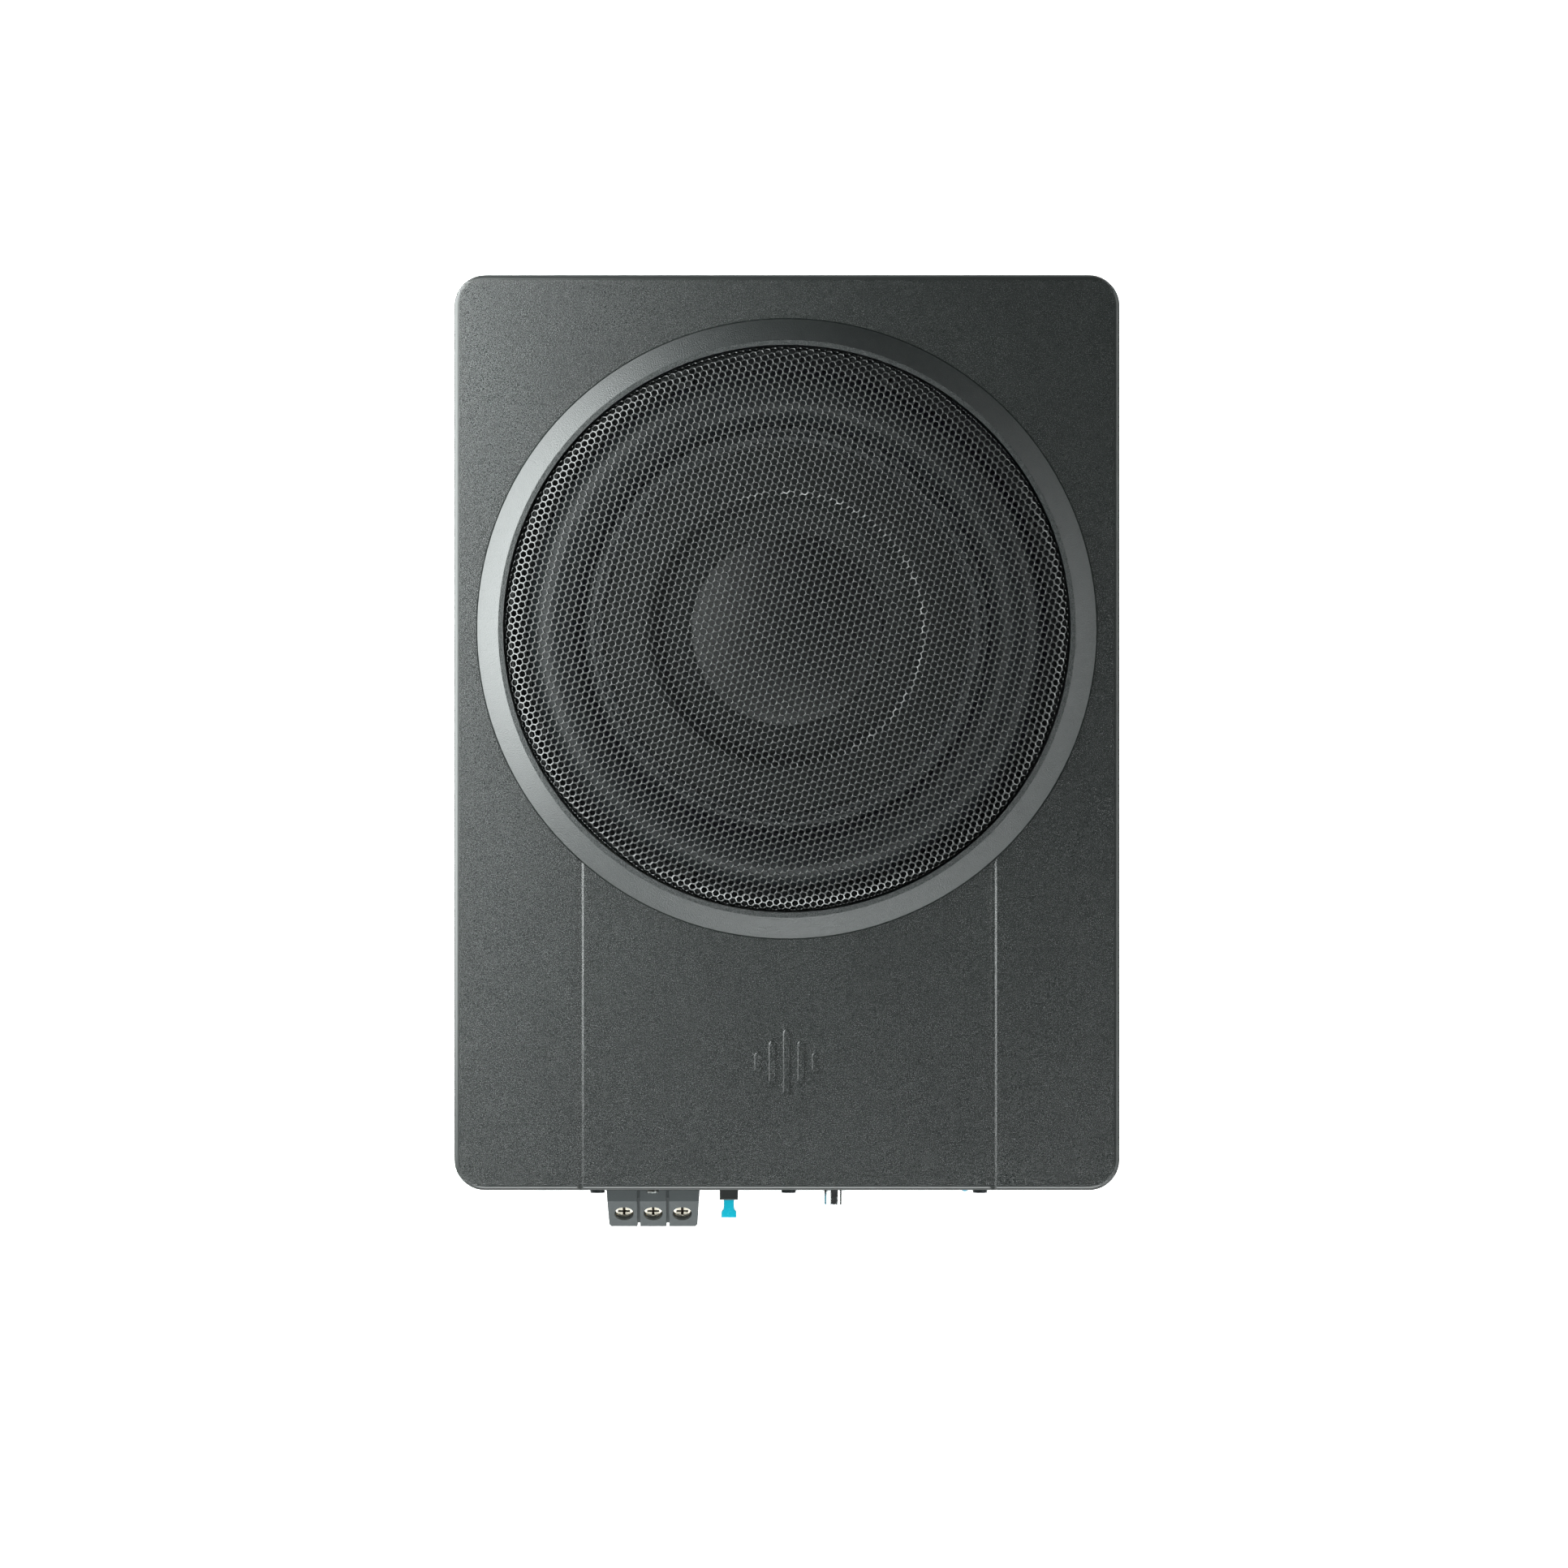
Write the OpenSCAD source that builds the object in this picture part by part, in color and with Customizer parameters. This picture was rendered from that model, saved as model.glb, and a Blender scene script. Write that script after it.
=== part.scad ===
// Powered car subwoofer: a slim under-seat box that holds an 8-inch woofer and the amplifier that drives it.
// +Z is up and the grille faces up. The connector panel faces -Y. z = 0 is the surface that the feet stand on,
// and x = y = 0 is the middle of the whole footprint, terminal block included. All sizes are millimetres.

/* [Cover] */
// Width of the top cover, across X
cover_w = 250; // [248:1:256]
// Length of the top cover, along Y
cover_l = 344; // [342:1:350]
// Height of the cover's flat top above the floor
cover_top_z = 64; // [63.5:0.5:66]
// Radius of the cover's upright corners
corner_r = 11.5; // [10:0.5:13]
// Radius of the rounded edge between the cover's top and its sides
edge_r = 1.6; // [1:0.1:2]
// Thickness of the cover's side walls and of its top
cover_t = 3; // [2.6:0.1:3.2]
// Height of the joint between the cover and the base tray
seam_z = 16.8; // [16.5:0.1:17]
// Distance of the two styling grooves from the centre line
groove_x = 77.6; // [76:0.2:79]
// Width of a styling groove at the cover's top
groove_w = 2.6; // [2.2:0.1:3]
// Depth of a styling groove
groove_d = 0.6; // [0.4:0.1:1]
// Width of each sloping side of a styling groove
groove_side = 0.8; // [0.6:0.1:1]
// Distance of the embossed bars from the cover's centre, towards the connector panel
emblem_back = 124; // [118:1:128]
// Height that the embossed bars stand above the cover
emblem_h = 0.45; // [0.3:0.05:0.8]

/* [Grille and ring] */
// Distance of the woofer's axis from the cover's centre, away from the connector panel
woofer_offset = 39; // [38:0.5:40]
// Outer radius of the sloped ring round the grille
ring_r = 116.3; // [115.5:0.1:117]
// Radius where the ring's slope ends and its flat top begins
ring_top_r = 108.3; // [108:0.1:109]
// Height of the ring's flat top above the cover
ring_h = 4.5; // [4:0.1:5]
// Outer radius of the grille
grille_r = 106; // [105.8:0.1:106.1]
// Height of the grille's middle above the floor
grille_apex_z = 71; // [70.8:0.1:72]
// Thickness of the grille's steel
grille_t = 1; // [0.8:0.1:1.2]

/* [Woofer] */
// Outer radius of the woofer's flange
flange_r = 105; // [104:0.1:105.2]
// Height of the ledge that the woofer's flange sits on
ledge_z = 50; // [49.8:0.1:50.4]
// Travel of the cone each way from rest
cone_travel = 5; // [3:0.5:5]
// Radius of the voice coil's former
former_r = 25.6; // [25.4:0.1:25.6]
// Outer radius of the magnet
magnet_r = 50; // [48:0.5:52]

/* [Connector panel] */
// Width of the connector panel
panel_w = 154; // [152:1:156]
// Height of the connector panel
panel_h = 36; // [35:0.5:37]
// Height of the connector panel's middle above the floor
panel_z = 36; // [35.5:0.5:36.5]
// Thickness of the connector panel
panel_t = 2; // [1.8:0.1:2.2]
// Reach of the terminal block in front of the cover
block_reach = 15; // [14.5:0.1:15.5]
// Distance of the terminal block's middle from the centre line
block_x = -50.6; // [-52:0.1:-49]
// Distance between the terminals
terminal_pitch = 11; // [10.8:0.1:11.2]
// Radius of the wire entries, for wire up to 8 gauge
wire_r = 2.6; // [2.4:0.1:2.7]
// Distance of the fuse from the centre line
fuse_x = -21.9; // [-23:0.1:-21.5]
// Distance of each control knob from the middle of the pair
knob_gap = 8; // [7.6:0.1:8.1]
// Distance of the signal sockets from the centre line
phono_x = 17.8; // [17.6:0.1:18.6]
// Outer radius of a signal socket's barrel
phono_r = 4.15; // [4.1:0.01:4.2]

/* [Base] */
// Distance between the two bracket holes on each side of the base
bracket_pitch = 220; // [200:1:230]
// Radius of the tapped bracket holes, for M5 screws
bracket_hole_r = 2.1; // [2:0.05:2.2]
// Thickness of the rubber feet
foot_h = 4; // [3.5:0.1:4.5]

/* [Hidden] */
$fn = 96;

// The footprint runs from the terminal block's face to the cover's far edge
front_y = block_reach - (cover_l + block_reach) / 2;
mid_y = front_y + cover_l / 2;
woofer_y = mid_y + woofer_offset;

// Base tray
tray_inset = 1;
tray_w = cover_w - 2 * tray_inset;
tray_l = cover_l - 2 * tray_inset;
tray_wall = 4;
tray_low_z = 2.5;
tray_floor_z = 5.5;
floor_top_z = 9;
gasket_h = 0.8;
tray_top_z = seam_z - gasket_h;
notch_w = 3;
notch_d = 1.6;
notch_pitch = 6;
fin_pitch = 9;
fin_t = 2.5;
foot_r = 9;
foot_at = [[-100, -148], [100, -148], [-100, 148], [100, 148]];
bracket_z = 11.5;
bracket_depth = 12;

// Case screws, M4, into brass inserts in the cover's posts
post_r = 5;
post_at = [
    [-113, -160], [113, -160], [-115.5, -62], [115.5, -62],
    [-113, 160], [113, 160], [-60, 163], [60, 163],
];
insert_r = 2.9;
insert_h = 8;
m4_r = 2;
m4_hole_r = 2.25;
m4_head_r = 3.8;
m4_head_h = 2.6;
thread_gap = 0.05;

// Distance from the woofer's axis at which the styling grooves end, under the ring
groove_end = 80;
// Width that the window behind the connector panel is narrower than the panel
window_margin = 15;

// Woofer well
well_r = 106.6;
well_t = 3;
ledge_t = 3;
ledge_inner_r = 96;
ring_lip_r = 103.5;
ring_lip_t = 1.5;
ring_foot_h = 0.3;
basket_t = 1.8;
plate_top_z = 30.5;
plate_t = 5.5;
magnet_t = 10;
yoke_t = 5;
yoke_top_z = plate_top_z - plate_t - magnet_t;
// The coil's lower end stays this far above the yoke at the bottom of the cone's travel
coil_gap = 1.5;
coil_low_z = yoke_top_z + cone_travel + coil_gap;
pole_r = 24.7;
coil_r = 26.3;
gap_r = 26.8;
former_t = 0.4;
roll_r = 10.5;
roll_t = 1.2;
roll_mid_r = 87.5;
spider_z = 38.2;
screw_circle_r = 101.5;
woofer_screw_r = 1.5;
woofer_screw_hole_r = 2.1;
woofer_gasket_t = 2.4;

// Amplifier board
board_z = 13;
board_t = 1.6;
board_top_z = board_z + board_t;
board_w = 196;
board_from = 8;
board_to = 108;
spacer_at = [[-92, 20], [92, 20], [-92, 100], [92, 100], [4, 100]];

// y of a place this far behind the cover's front face
function behind(d) = front_y + d;

// Outline of a sheet that follows the points with an upright thickness t
function band(points, t) = concat(points, [for (i = [len(points) - 1:-1:0]) points[i] + [0, t]]);

// Height of the grille's outer surface at radius r: a shallow dome whose rim turns down
grille_rim = 9;
grille_rise = 2.1;
rim_drop = 3.2;
function grille_z(r) = grille_apex_z - grille_rise * pow(r / grille_r, 2)
    - (r > grille_r - grille_rim ? rim_drop * pow((r - grille_r + grille_rim) / grille_rim, 2.4) : 0);

// Corrugated spider: height of its cloth at radius r
spider_in_r = 30;
spider_out_r = 58;
spider_waves = 4;
spider_wave_h = 1.3;
function spider_wave(r) = r < spider_in_r || r > spider_out_r ? 0
    : spider_wave_h * sin(360 * spider_waves * (r - spider_in_r) / (spider_out_r - spider_in_r));

// A round wire of radius r swept along a list of points
wire_sides = 8;
function unit(v) = v / norm(v);
function heading(p, i) = unit(p[min(i + 1, len(p) - 1)] - p[max(i - 1, 0)]);
function side_of(h) = unit(cross(h, abs(h[2]) > 0.9 ? [0, 1, 0] : [0, 0, 1]));
module wire(p, r) {
    n = wire_sides;
    rings = [for (i = [0:len(p) - 1]) let (h = heading(p, i), u = side_of(h), v = cross(h, u))
        for (k = [0:n - 1]) p[i] + r * (cos(360 * k / n) * u + sin(360 * k / n) * v)];
    sides = [for (i = [0:len(p) - 2]) for (k = [0:n - 1])
        [i * n + k, i * n + (k + 1) % n, (i + 1) * n + (k + 1) % n, (i + 1) * n + k]];
    ends = [[for (k = [n - 1:-1:0]) k], [for (k = [0:n - 1]) (len(p) - 1) * n + k]];
    polyhedron(rings, concat(sides, ends));
}

// Points along a smooth curve through a, b and c
function bend(a, b, c, steps) = [for (i = [0:steps]) let (t = i / steps)
    (1 - t) * (1 - t) * a + 2 * t * (1 - t) * b + t * t * c];

module rounded_rect(w, l, r) {
    square([w - 2 * r, l], center = true);
    square([w, l - 2 * r], center = true);
    for (x = [-1, 1], y = [-1, 1]) translate([x * (w / 2 - r), y * (l / 2 - r)]) circle(r = r);
}

// A slab with rounded upright corners, from z1 to z2, centred on the cover
module slab(w, l, r, z1, z2) {
    translate([0, mid_y, z1]) linear_extrude(z2 - z1) rounded_rect(w, l, r);
}

// Upright section of the cover: a rectangle whose two top corners are rounded
module crowned_section(w, h) {
    translate([-w / 2, 0]) square([w, h - edge_r]);
    translate([edge_r - w / 2, 0]) square([w - 2 * edge_r, h]);
    for (s = [-1, 1]) translate([s * (w / 2 - edge_r), h - edge_r]) circle(r = edge_r);
}

// The cover's outer form, with the rounded edge carried round its corners
module crowned_block(w, l, h) {
    rotate([90, 0, 0]) linear_extrude(l - 2 * corner_r, center = true) crowned_section(w, h);
    rotate([90, 0, 90]) linear_extrude(w - 2 * corner_r, center = true) crowned_section(l, h);
    for (x = [-1, 1], y = [-1, 1])
        translate([x * (w / 2 - corner_r), y * (l / 2 - corner_r), 0]) rotate_extrude() {
            square([corner_r, h - edge_r]);
            square([corner_r - edge_r, h]);
            translate([corner_r - edge_r, h - edge_r]) circle(r = edge_r);
        }
}

// A cylinder along Y that starts d behind the cover's front face and runs inwards
module rod_in(x, z, d, length, r) {
    translate([x, behind(d), z]) rotate([-90, 0, 0]) cylinder(h = length, r = r);
}

// A block with its middle at x and z, from d1 to d2 behind the cover's front face
module block_in(x, z, w, h, d1, d2) {
    translate([x - w / 2, behind(d1), z - h / 2]) cube([w, d2 - d1, h]);
}

// A ring on the woofer's axis
module washer(r1, r2, z1, z2) {
    translate([0, woofer_y, z1]) difference() {
        cylinder(h = z2 - z1, r = r2);
        translate([0, 0, -1]) cylinder(h = z2 - z1 + 2, r = r1);
    }
}

module on_woofer_axis() {
    translate([0, woofer_y, 0]) rotate_extrude($fn = 144) children();
}

module each_post() {
    for (p = post_at) translate([p[0], mid_y + p[1], 0]) children();
}

// The axis of each of the eight screws in the woofer's flange
module each_woofer_screw() {
    for (i = [0:7]) translate([0, woofer_y, 0]) rotate(22.5 + i * 45)
        translate([screw_circle_r, 0, 0]) children();
}

// ---------- case ----------

module base_tray() color("#8f9497") {
    notches = floor((tray_l - 60) / notch_pitch / 2);
    difference() {
        union() {
            // Wall, with cooling notches down its two long sides
            translate([0, mid_y, tray_low_z]) linear_extrude(tray_top_z - tray_low_z) difference() {
                rounded_rect(tray_w, tray_l, corner_r - tray_inset);
                rounded_rect(tray_w - 2 * tray_wall, tray_l - 2 * tray_wall, corner_r - tray_wall);
                for (s = [-1, 1], i = [-notches:notches])
                    if (abs(abs(i * notch_pitch) - bracket_pitch / 2) > bracket_depth / 2)
                        translate([s * tray_w / 2, i * notch_pitch])
                            square([2 * notch_d, notch_w], center = true);
            }
            slab(tray_w - 2 * notch_d - 1, tray_l - 2, corner_r - 3, tray_floor_z, floor_top_z);
            // Cooling fins under the floor
            for (i = [-9:9]) translate([i * fin_pitch - fin_t / 2, mid_y - 125, tray_low_z])
                cube([fin_t, 250, tray_floor_z - tray_low_z + 1]);
            // Posts for the case screws, and blocks for the bracket holes
            each_post() translate([0, 0, tray_low_z]) cylinder(h = seam_z - tray_low_z, r = post_r);
            for (x = [-1, 1], y = [-1, 1])
                translate([x * (tray_w - bracket_depth) / 2 - bracket_depth / 2,
                           mid_y + y * bracket_pitch / 2 - 5, tray_low_z])
                    cube([bracket_depth, 10, tray_top_z - tray_low_z - 1]);
            // Pads that the feet are stuck into
            for (p = foot_at) translate([p[0], mid_y + p[1], tray_low_z])
                cylinder(h = floor_top_z - tray_low_z, r = foot_r + 2.5);
        }
        each_post() {
            cylinder(h = seam_z + 1, r = m4_hole_r);
            translate([0, 0, tray_low_z - 1]) cylinder(h = m4_head_h + 1.4, r = m4_head_r + 0.3);
        }
        for (x = [-1, 1], y = [-1, 1])
            translate([x * (tray_w / 2 + 1), mid_y + y * bracket_pitch / 2, bracket_z])
                rotate([0, -x * 90, 0]) cylinder(h = bracket_depth + 2, r = bracket_hole_r);
        for (p = foot_at) translate([p[0], mid_y + p[1], tray_low_z - 1])
            cylinder(h = foot_h - tray_low_z + 1, r = foot_r);
    }
}

module rubber_feet() color("#151617") {
    for (p = foot_at) translate([p[0], mid_y + p[1], 0]) rotate_extrude()
        polygon([[0, 0], [foot_r - 1.5, 0], [foot_r - 0.4, 1], [foot_r - 0.2, foot_h], [0, foot_h]]);
}

module cover_gasket() color("#1c1d1e") {
    translate([0, mid_y, tray_top_z]) linear_extrude(gasket_h) difference() {
        rounded_rect(tray_w - 1, tray_l - 1, corner_r - tray_inset - 0.5);
        rounded_rect(cover_w - 2 * cover_t - 2, cover_l - 2 * cover_t - 2, corner_r - cover_t - 1);
        for (p = post_at) translate(p) circle(r = post_r + 0.3);
    }
}

// One embossed bar with round ends and sloping sides, with its middle on the cover's top
module emblem_bar(length) {
    base_r = 1.5;
    top_r = base_r - emblem_h;
    rotate([90, 0, 0]) linear_extrude(length - 2 * base_r, center = true)
        polygon([
            [-base_r, -1], [base_r, -1], [base_r, 0], [top_r, emblem_h], [-top_r, emblem_h], [-base_r, 0],
        ]);
    for (s = [-1, 1]) translate([0, s * (length / 2 - base_r), 0]) {
        cylinder(h = emblem_h, r1 = base_r, r2 = top_r);
        translate([0, 0, -1]) cylinder(h = 1, r = base_r);
    }
}

// Five bars of different lengths, like a level display
module emblem_bars() {
    bar_pitch = 5.4;
    longest = 25;
    step = 8.5;
    for (i = [-2:2]) translate([i * bar_pitch, mid_y - emblem_back, cover_top_z])
        emblem_bar(longest - step * abs(i));
}

// Section of a styling groove, whose sides slope in to its floor
module groove_section() {
    top = groove_w / 2;
    low = top - groove_side;
    polygon([[-low, -groove_d], [low, -groove_d], [top, 0], [top, 1], [-top, 1], [-top, 0]]);
}

module top_cover() color("#3c4142") {
    post_top = cover_top_z - cover_t;
    difference() {
        union() {
            difference() {
                translate([0, mid_y, seam_z]) crowned_block(cover_w, cover_l, cover_top_z - seam_z);
                slab(cover_w - 2 * cover_t, cover_l - 2 * cover_t, corner_r - cover_t,
                     seam_z - 1, post_top);
            }
            // Well that the woofer sits in, with its ledge
            washer(well_r, well_r + well_t, ledge_z - ledge_t, post_top + 1);
            washer(ledge_inner_r, well_r + 1, ledge_z - ledge_t, ledge_z);
            each_post() translate([0, 0, seam_z]) cylinder(h = post_top - seam_z + 1, r = post_r);
            // Thicker wall behind the connector panel
            block_in(panel_x, panel_z, panel_w + 10, panel_h + 2, cover_t - 1, 5.5);
            emblem_bars();
        }
        translate([0, woofer_y, ledge_z]) cylinder(h = cover_top_z, r = well_r);
        for (s = [-1, 1]) translate([s * groove_x, woofer_y - groove_end, cover_top_z]) rotate([90, 0, 0])
            linear_extrude(woofer_y - groove_end - front_y + 1) groove_section();
        // Pocket that the panel lies in, and the window behind it
        block_in(panel_x, panel_z, panel_w + 0.4, panel_h + 0.4, -1, panel_t);
        difference() {
            block_in(panel_x, panel_z, panel_w - window_margin, panel_h - 4, -1, 7);
            for (s = [-1, 1]) block_in(panel_x, panel_z + s * 14, 7, 10, -2, 8);
        }
        each_panel_screw(0, 8, 1.45 + thread_gap);
        each_post() {
            translate([0, 0, seam_z - 1]) cylinder(h = insert_h + 1, r = insert_r);
            translate([0, 0, seam_z]) cylinder(h = insert_h + 8, r = m4_hole_r);
        }
        // Screw holes in the woofer's ledge
        each_woofer_screw() translate([0, 0, ledge_z - ledge_t - 1])
            cylinder(h = ledge_t + 2, r = woofer_screw_r + thread_gap);
    }
}

module threaded_inserts() color("#b08d45") {
    each_post() translate([0, 0, seam_z]) difference() {
        cylinder(h = insert_h, r = insert_r);
        translate([0, 0, -1]) cylinder(h = insert_h + 2, r = m4_r + thread_gap);
    }
}

module base_screws() color("#2b2d2e") {
    head_z = tray_low_z + 0.4;
    each_post() difference() {
        union() {
            translate([0, 0, head_z]) cylinder(h = m4_head_h - 0.2, r = m4_head_r);
            translate([0, 0, head_z]) cylinder(h = seam_z + insert_h - head_z, r = m4_r);
        }
        translate([0, 0, head_z - 1]) cylinder(h = 2.6, r = 1.6, $fn = 6);
    }
}

// ---------- ring and grille ----------

module grille_ring() color("#4b5152") {
    on_woofer_axis() {
        polygon([
            [well_r - 0.3, cover_top_z - ring_lip_t], [well_r - 0.3, cover_top_z],
            [ring_r, cover_top_z], [ring_r, cover_top_z + ring_foot_h],
            [ring_top_r, cover_top_z + ring_h], [grille_r + 0.5, cover_top_z + ring_h],
            [grille_r + 0.5, cover_top_z], [ring_lip_r, cover_top_z],
            [ring_lip_r, cover_top_z - ring_lip_t],
        ]);
    }
}

module grille() color("#26292a") {
    steps = 24;
    rim_in = grille_r - grille_rim;
    radii = concat([0, rim_in / 2], [for (i = [0:steps]) rim_in + (grille_rim - grille_t) * i / steps]);
    on_woofer_axis() polygon(concat(
        [for (r = radii) [r, grille_z(r)]],
        [[grille_r, grille_z(grille_r)], [grille_r, cover_top_z], [grille_r - grille_t, cover_top_z]],
        [for (i = [len(radii) - 1:-1:0]) [radii[i], grille_z(radii[i]) - grille_t]]
    ));
}

// ---------- woofer ----------

module woofer_basket() color("#1f2122") {
    difference() {
        on_woofer_axis() polygon(band([
            [31, plate_top_z], [52, plate_top_z], [60, spider_z - basket_t], [68, spider_z - basket_t],
            [92, ledge_z], [flange_r, ledge_z],
        ], basket_t));
        // Six windows in the sloping wall
        for (i = [0:5]) translate([0, woofer_y, 0]) rotate(i * 60) translate([80, 0, 44])
            cube([17, 46, 30], center = true);
        each_woofer_screw() translate([0, 0, ledge_z - 1]) cylinder(h = basket_t + 2, r = woofer_screw_hole_r);
    }
}

module woofer_gasket() color("#17191a") {
    low_z = ledge_z + basket_t;
    difference() {
        washer(roll_mid_r + roll_r + 0.3, flange_r - 0.2, low_z, low_z + woofer_gasket_t);
        each_woofer_screw() translate([0, 0, ledge_z]) cylinder(h = 6, r = woofer_screw_hole_r);
    }
}

module woofer_screws() color("#7d8284") {
    head_z = ledge_z + basket_t + woofer_gasket_t;
    tip_z = ledge_z - ledge_t - 4;
    each_woofer_screw() difference() {
        union() {
            translate([0, 0, head_z]) cylinder(h = 2, r = 3);
            translate([0, 0, tip_z]) cylinder(h = head_z - tip_z, r = woofer_screw_r);
        }
        // Cross recess
        translate([0, 0, head_z + 0.8]) for (a = [0, 90]) rotate(a) cube([4, 0.8, 3], center = true);
    }
}

module surround() color("#1a1b1c") {
    lip_z = ledge_z + basket_t;
    inner_r = 70.5;
    on_woofer_axis() {
        // Half-round roll, and the two flat lips that are glued down
        translate([roll_mid_r, lip_z + 1]) intersection() {
            difference() {
                circle(r = roll_r);
                circle(r = roll_r - roll_t);
            }
            translate([-roll_r - 1, 0]) square([2 * roll_r + 2, roll_r + 1]);
        }
        translate([roll_mid_r + roll_r - roll_t, lip_z]) square([roll_t + 0.2, 1.2]);
        translate([inner_r, lip_z + 1.7]) square([roll_mid_r - roll_r - inner_r + 0.6, roll_t]);
    }
}

module cone() color("#202324") {
    on_woofer_axis() polygon(band([
        [former_r, 42], [29, 42.4], [46.5, 46.2], [49, 48.8], [51.5, 51], [54, 51.6], [75.5, 52.4],
    ], 1));
}

module dust_cap() color("#232627") {
    steps = 10;
    rim_r = 36;
    rim_z = 45;
    rise = 6;
    on_woofer_axis() polygon(band(
        [for (i = [0:steps]) let (r = rim_r * i / steps) [r, rim_z + rise * (1 - pow(r / rim_r, 2))]], 1));
}

module coil_former() color("#c8b27a") {
    washer(former_r - former_t, former_r, coil_low_z, 43);
}

module voice_coil() color("#a8642c") {
    washer(former_r, coil_r, coil_low_z, coil_low_z + 12);
}

module spider() color("#b59a5e") {
    steps = 48;
    on_woofer_axis() polygon(band(concat(
        [[former_r, spider_z]],
        [for (i = [0:steps]) let (r = spider_in_r + (spider_out_r - spider_in_r) * i / steps)
            [r, spider_z + spider_wave(r)]],
        [[67, spider_z]]
    ), 0.6));
}

module top_plate() color("#6f7476") {
    washer(gap_r, magnet_r + 2, plate_top_z - plate_t, plate_top_z);
}

module magnet() color("#3a3c3e") {
    washer(31, magnet_r, yoke_top_z, plate_top_z - plate_t);
}

module pole_yoke() color("#6f7476") {
    washer(6, magnet_r - 3, yoke_top_z - yoke_t, yoke_top_z);
    washer(6, pole_r, yoke_top_z - 1, plate_top_z);
}

module woofer_terminals() color("#8a6a3a") {
    strip_top = spider_z - basket_t;
    translate([0, woofer_y - 64, 0]) {
        translate([-9, -1.5, strip_top - 8]) cube([18, 3, 8]);
        for (s = [-1, 1]) translate([s * 5.5 - 1.6, -3, strip_top - 15]) cube([3.2, 0.8, 12]);
        for (s = [-1, 1]) translate([s * 5.5, -2.6, strip_top - 5]) rotate([-90, 0, 0])
            cylinder(h = 1.2, r = 1.2);
    }
}

module tinsel_leads() color("#b9b4a6") {
    for (s = [-1, 1]) {
        from = [s * 5.5, woofer_y - 60, spider_z + 2.2];
        to = [s * 4, woofer_y - 28, spider_z + 3];
        wire(bend(from, [s * 9, woofer_y - 44, spider_z + 6.5], to, 8), 0.6);
    }
}

// Two leads from the woofer's tabs, over the heat spreader and down to the board
module speaker_leads() color("#7a1f1c") {
    steps = 8;
    land_x = 24;
    lead_gap = 2.5;
    crest_z = 36;
    crest_back = 114;
    land_back = 96;
    for (s = [-1, 1]) {
        x = land_x + s * lead_gap;
        at_tab = [s * 5.5, woofer_y - 68.4, spider_z - 13];
        crest = [x, behind(crest_back), crest_z];
        at_board = [x, behind(land_back), board_top_z + 1.8];
        rise = bend(at_tab, [14 + s * 4, behind(crest_back + 14), crest_z - 4], crest, steps);
        fall = bend(crest, [x, behind(crest_back - 14), crest_z + 4], at_board, steps);
        wire(concat(rise, [for (i = [1:steps]) fall[i]]), 1);
    }
}

// ---------- connector panel ----------

block_top_z = 46;
block_low_z = 24;
block_w = 3 * terminal_pitch + 2.2;
block_step = 5;
block_groove_w = 1.1;
block_groove_d = 1.3;
block_taper = 0.9;
block_corner = 0.8;
clamp_z = 30;
panel_x = 0.7;
panel_screw_x = 72.2;
panel_screw_z = 13;
panel_screw_proud = 1.6;
block_screw_z = 49.6;
screw_tilt = 45;
// Middle of the sloped face, where the screws go in
slope_mid = (block_reach + block_step) / 2;
slope_mid_z = block_top_z - slope_mid + block_step;

function terminal_x(i) = block_x + (i - 2) * terminal_pitch;

// Places its children on a terminal screw's axis, with +Z out of the sloped face
module on_screw_axis(i) {
    translate([terminal_x(i), behind(-slope_mid), slope_mid_z]) rotate([screw_tilt, 0, 0]) children();
}

// A cylinder where each panel screw goes, from d behind the cover's front face
module each_panel_screw(d, length, r) {
    for (i = [-1:1], s = [-1, 1])
        rod_in(panel_x + i * panel_screw_x, panel_z + s * panel_screw_z, d, length, r);
}

module connector_panel() color("#2a2d2f") {
    difference() {
        block_in(panel_x, panel_z, panel_w, panel_h, 0, panel_t);
        block_in(block_x, (block_top_z + block_low_z) / 2, block_w + 0.6, block_top_z - block_low_z + 0.6,
                 -1, panel_t + 1);
        block_in(fuse_x, fuse_z, holder_w + 0.5, holder_h + 0.5, -1, panel_t + 1);
        for (s = [-1, 1]) rod_in(knob_x(s), knob_z, -1, panel_t + 2, knob_r + 0.4);
        for (z = phono_z) rod_in(phono_x, z, -1, panel_t + 2, phono_r + 0.6);
        block_in(socket_x, socket_z, socket_w + 0.5, socket_h + 0.5, -1, panel_t + 1);
        block_in(socket_x, port_z, port_w + 0.5, port_h + 0.5, -1, panel_t + 1);
        for (z = switch_z) block_in(switch_x, z, 7.5, 3.4, -1, panel_t + 1);
        rod_in(led_x, led_z, -1, panel_t + 2, led_r + 0.1);
        each_panel_screw(-1, panel_t + 2, 1.7);
        rod_in(block_x, block_screw_z, -1, panel_t + 2, 1.5);
    }
}

// One panel screw: domed head, shank and cross recess
module panel_screw(x, z, head_r, shank_r) {
    difference() {
        union() {
            rod_in(x, z, -panel_screw_proud, panel_screw_proud, head_r);
            rod_in(x, z, -1, 8, shank_r);
        }
        for (a = [0, 90]) translate([x, behind(-panel_screw_proud), z])
            rotate([0, a, 0]) cube([3.2, 2.2, 0.7], center = true);
    }
}

module panel_screws() color("#141516") {
    for (i = [-1:1], s = [-1, 1])
        panel_screw(panel_x + i * panel_screw_x, panel_z + s * panel_screw_z, 2.75, 1.45);
}

module block_screw() color("#b9bcbe") {
    panel_screw(block_x, block_screw_z, 2.2, 1.25);
}

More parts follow.
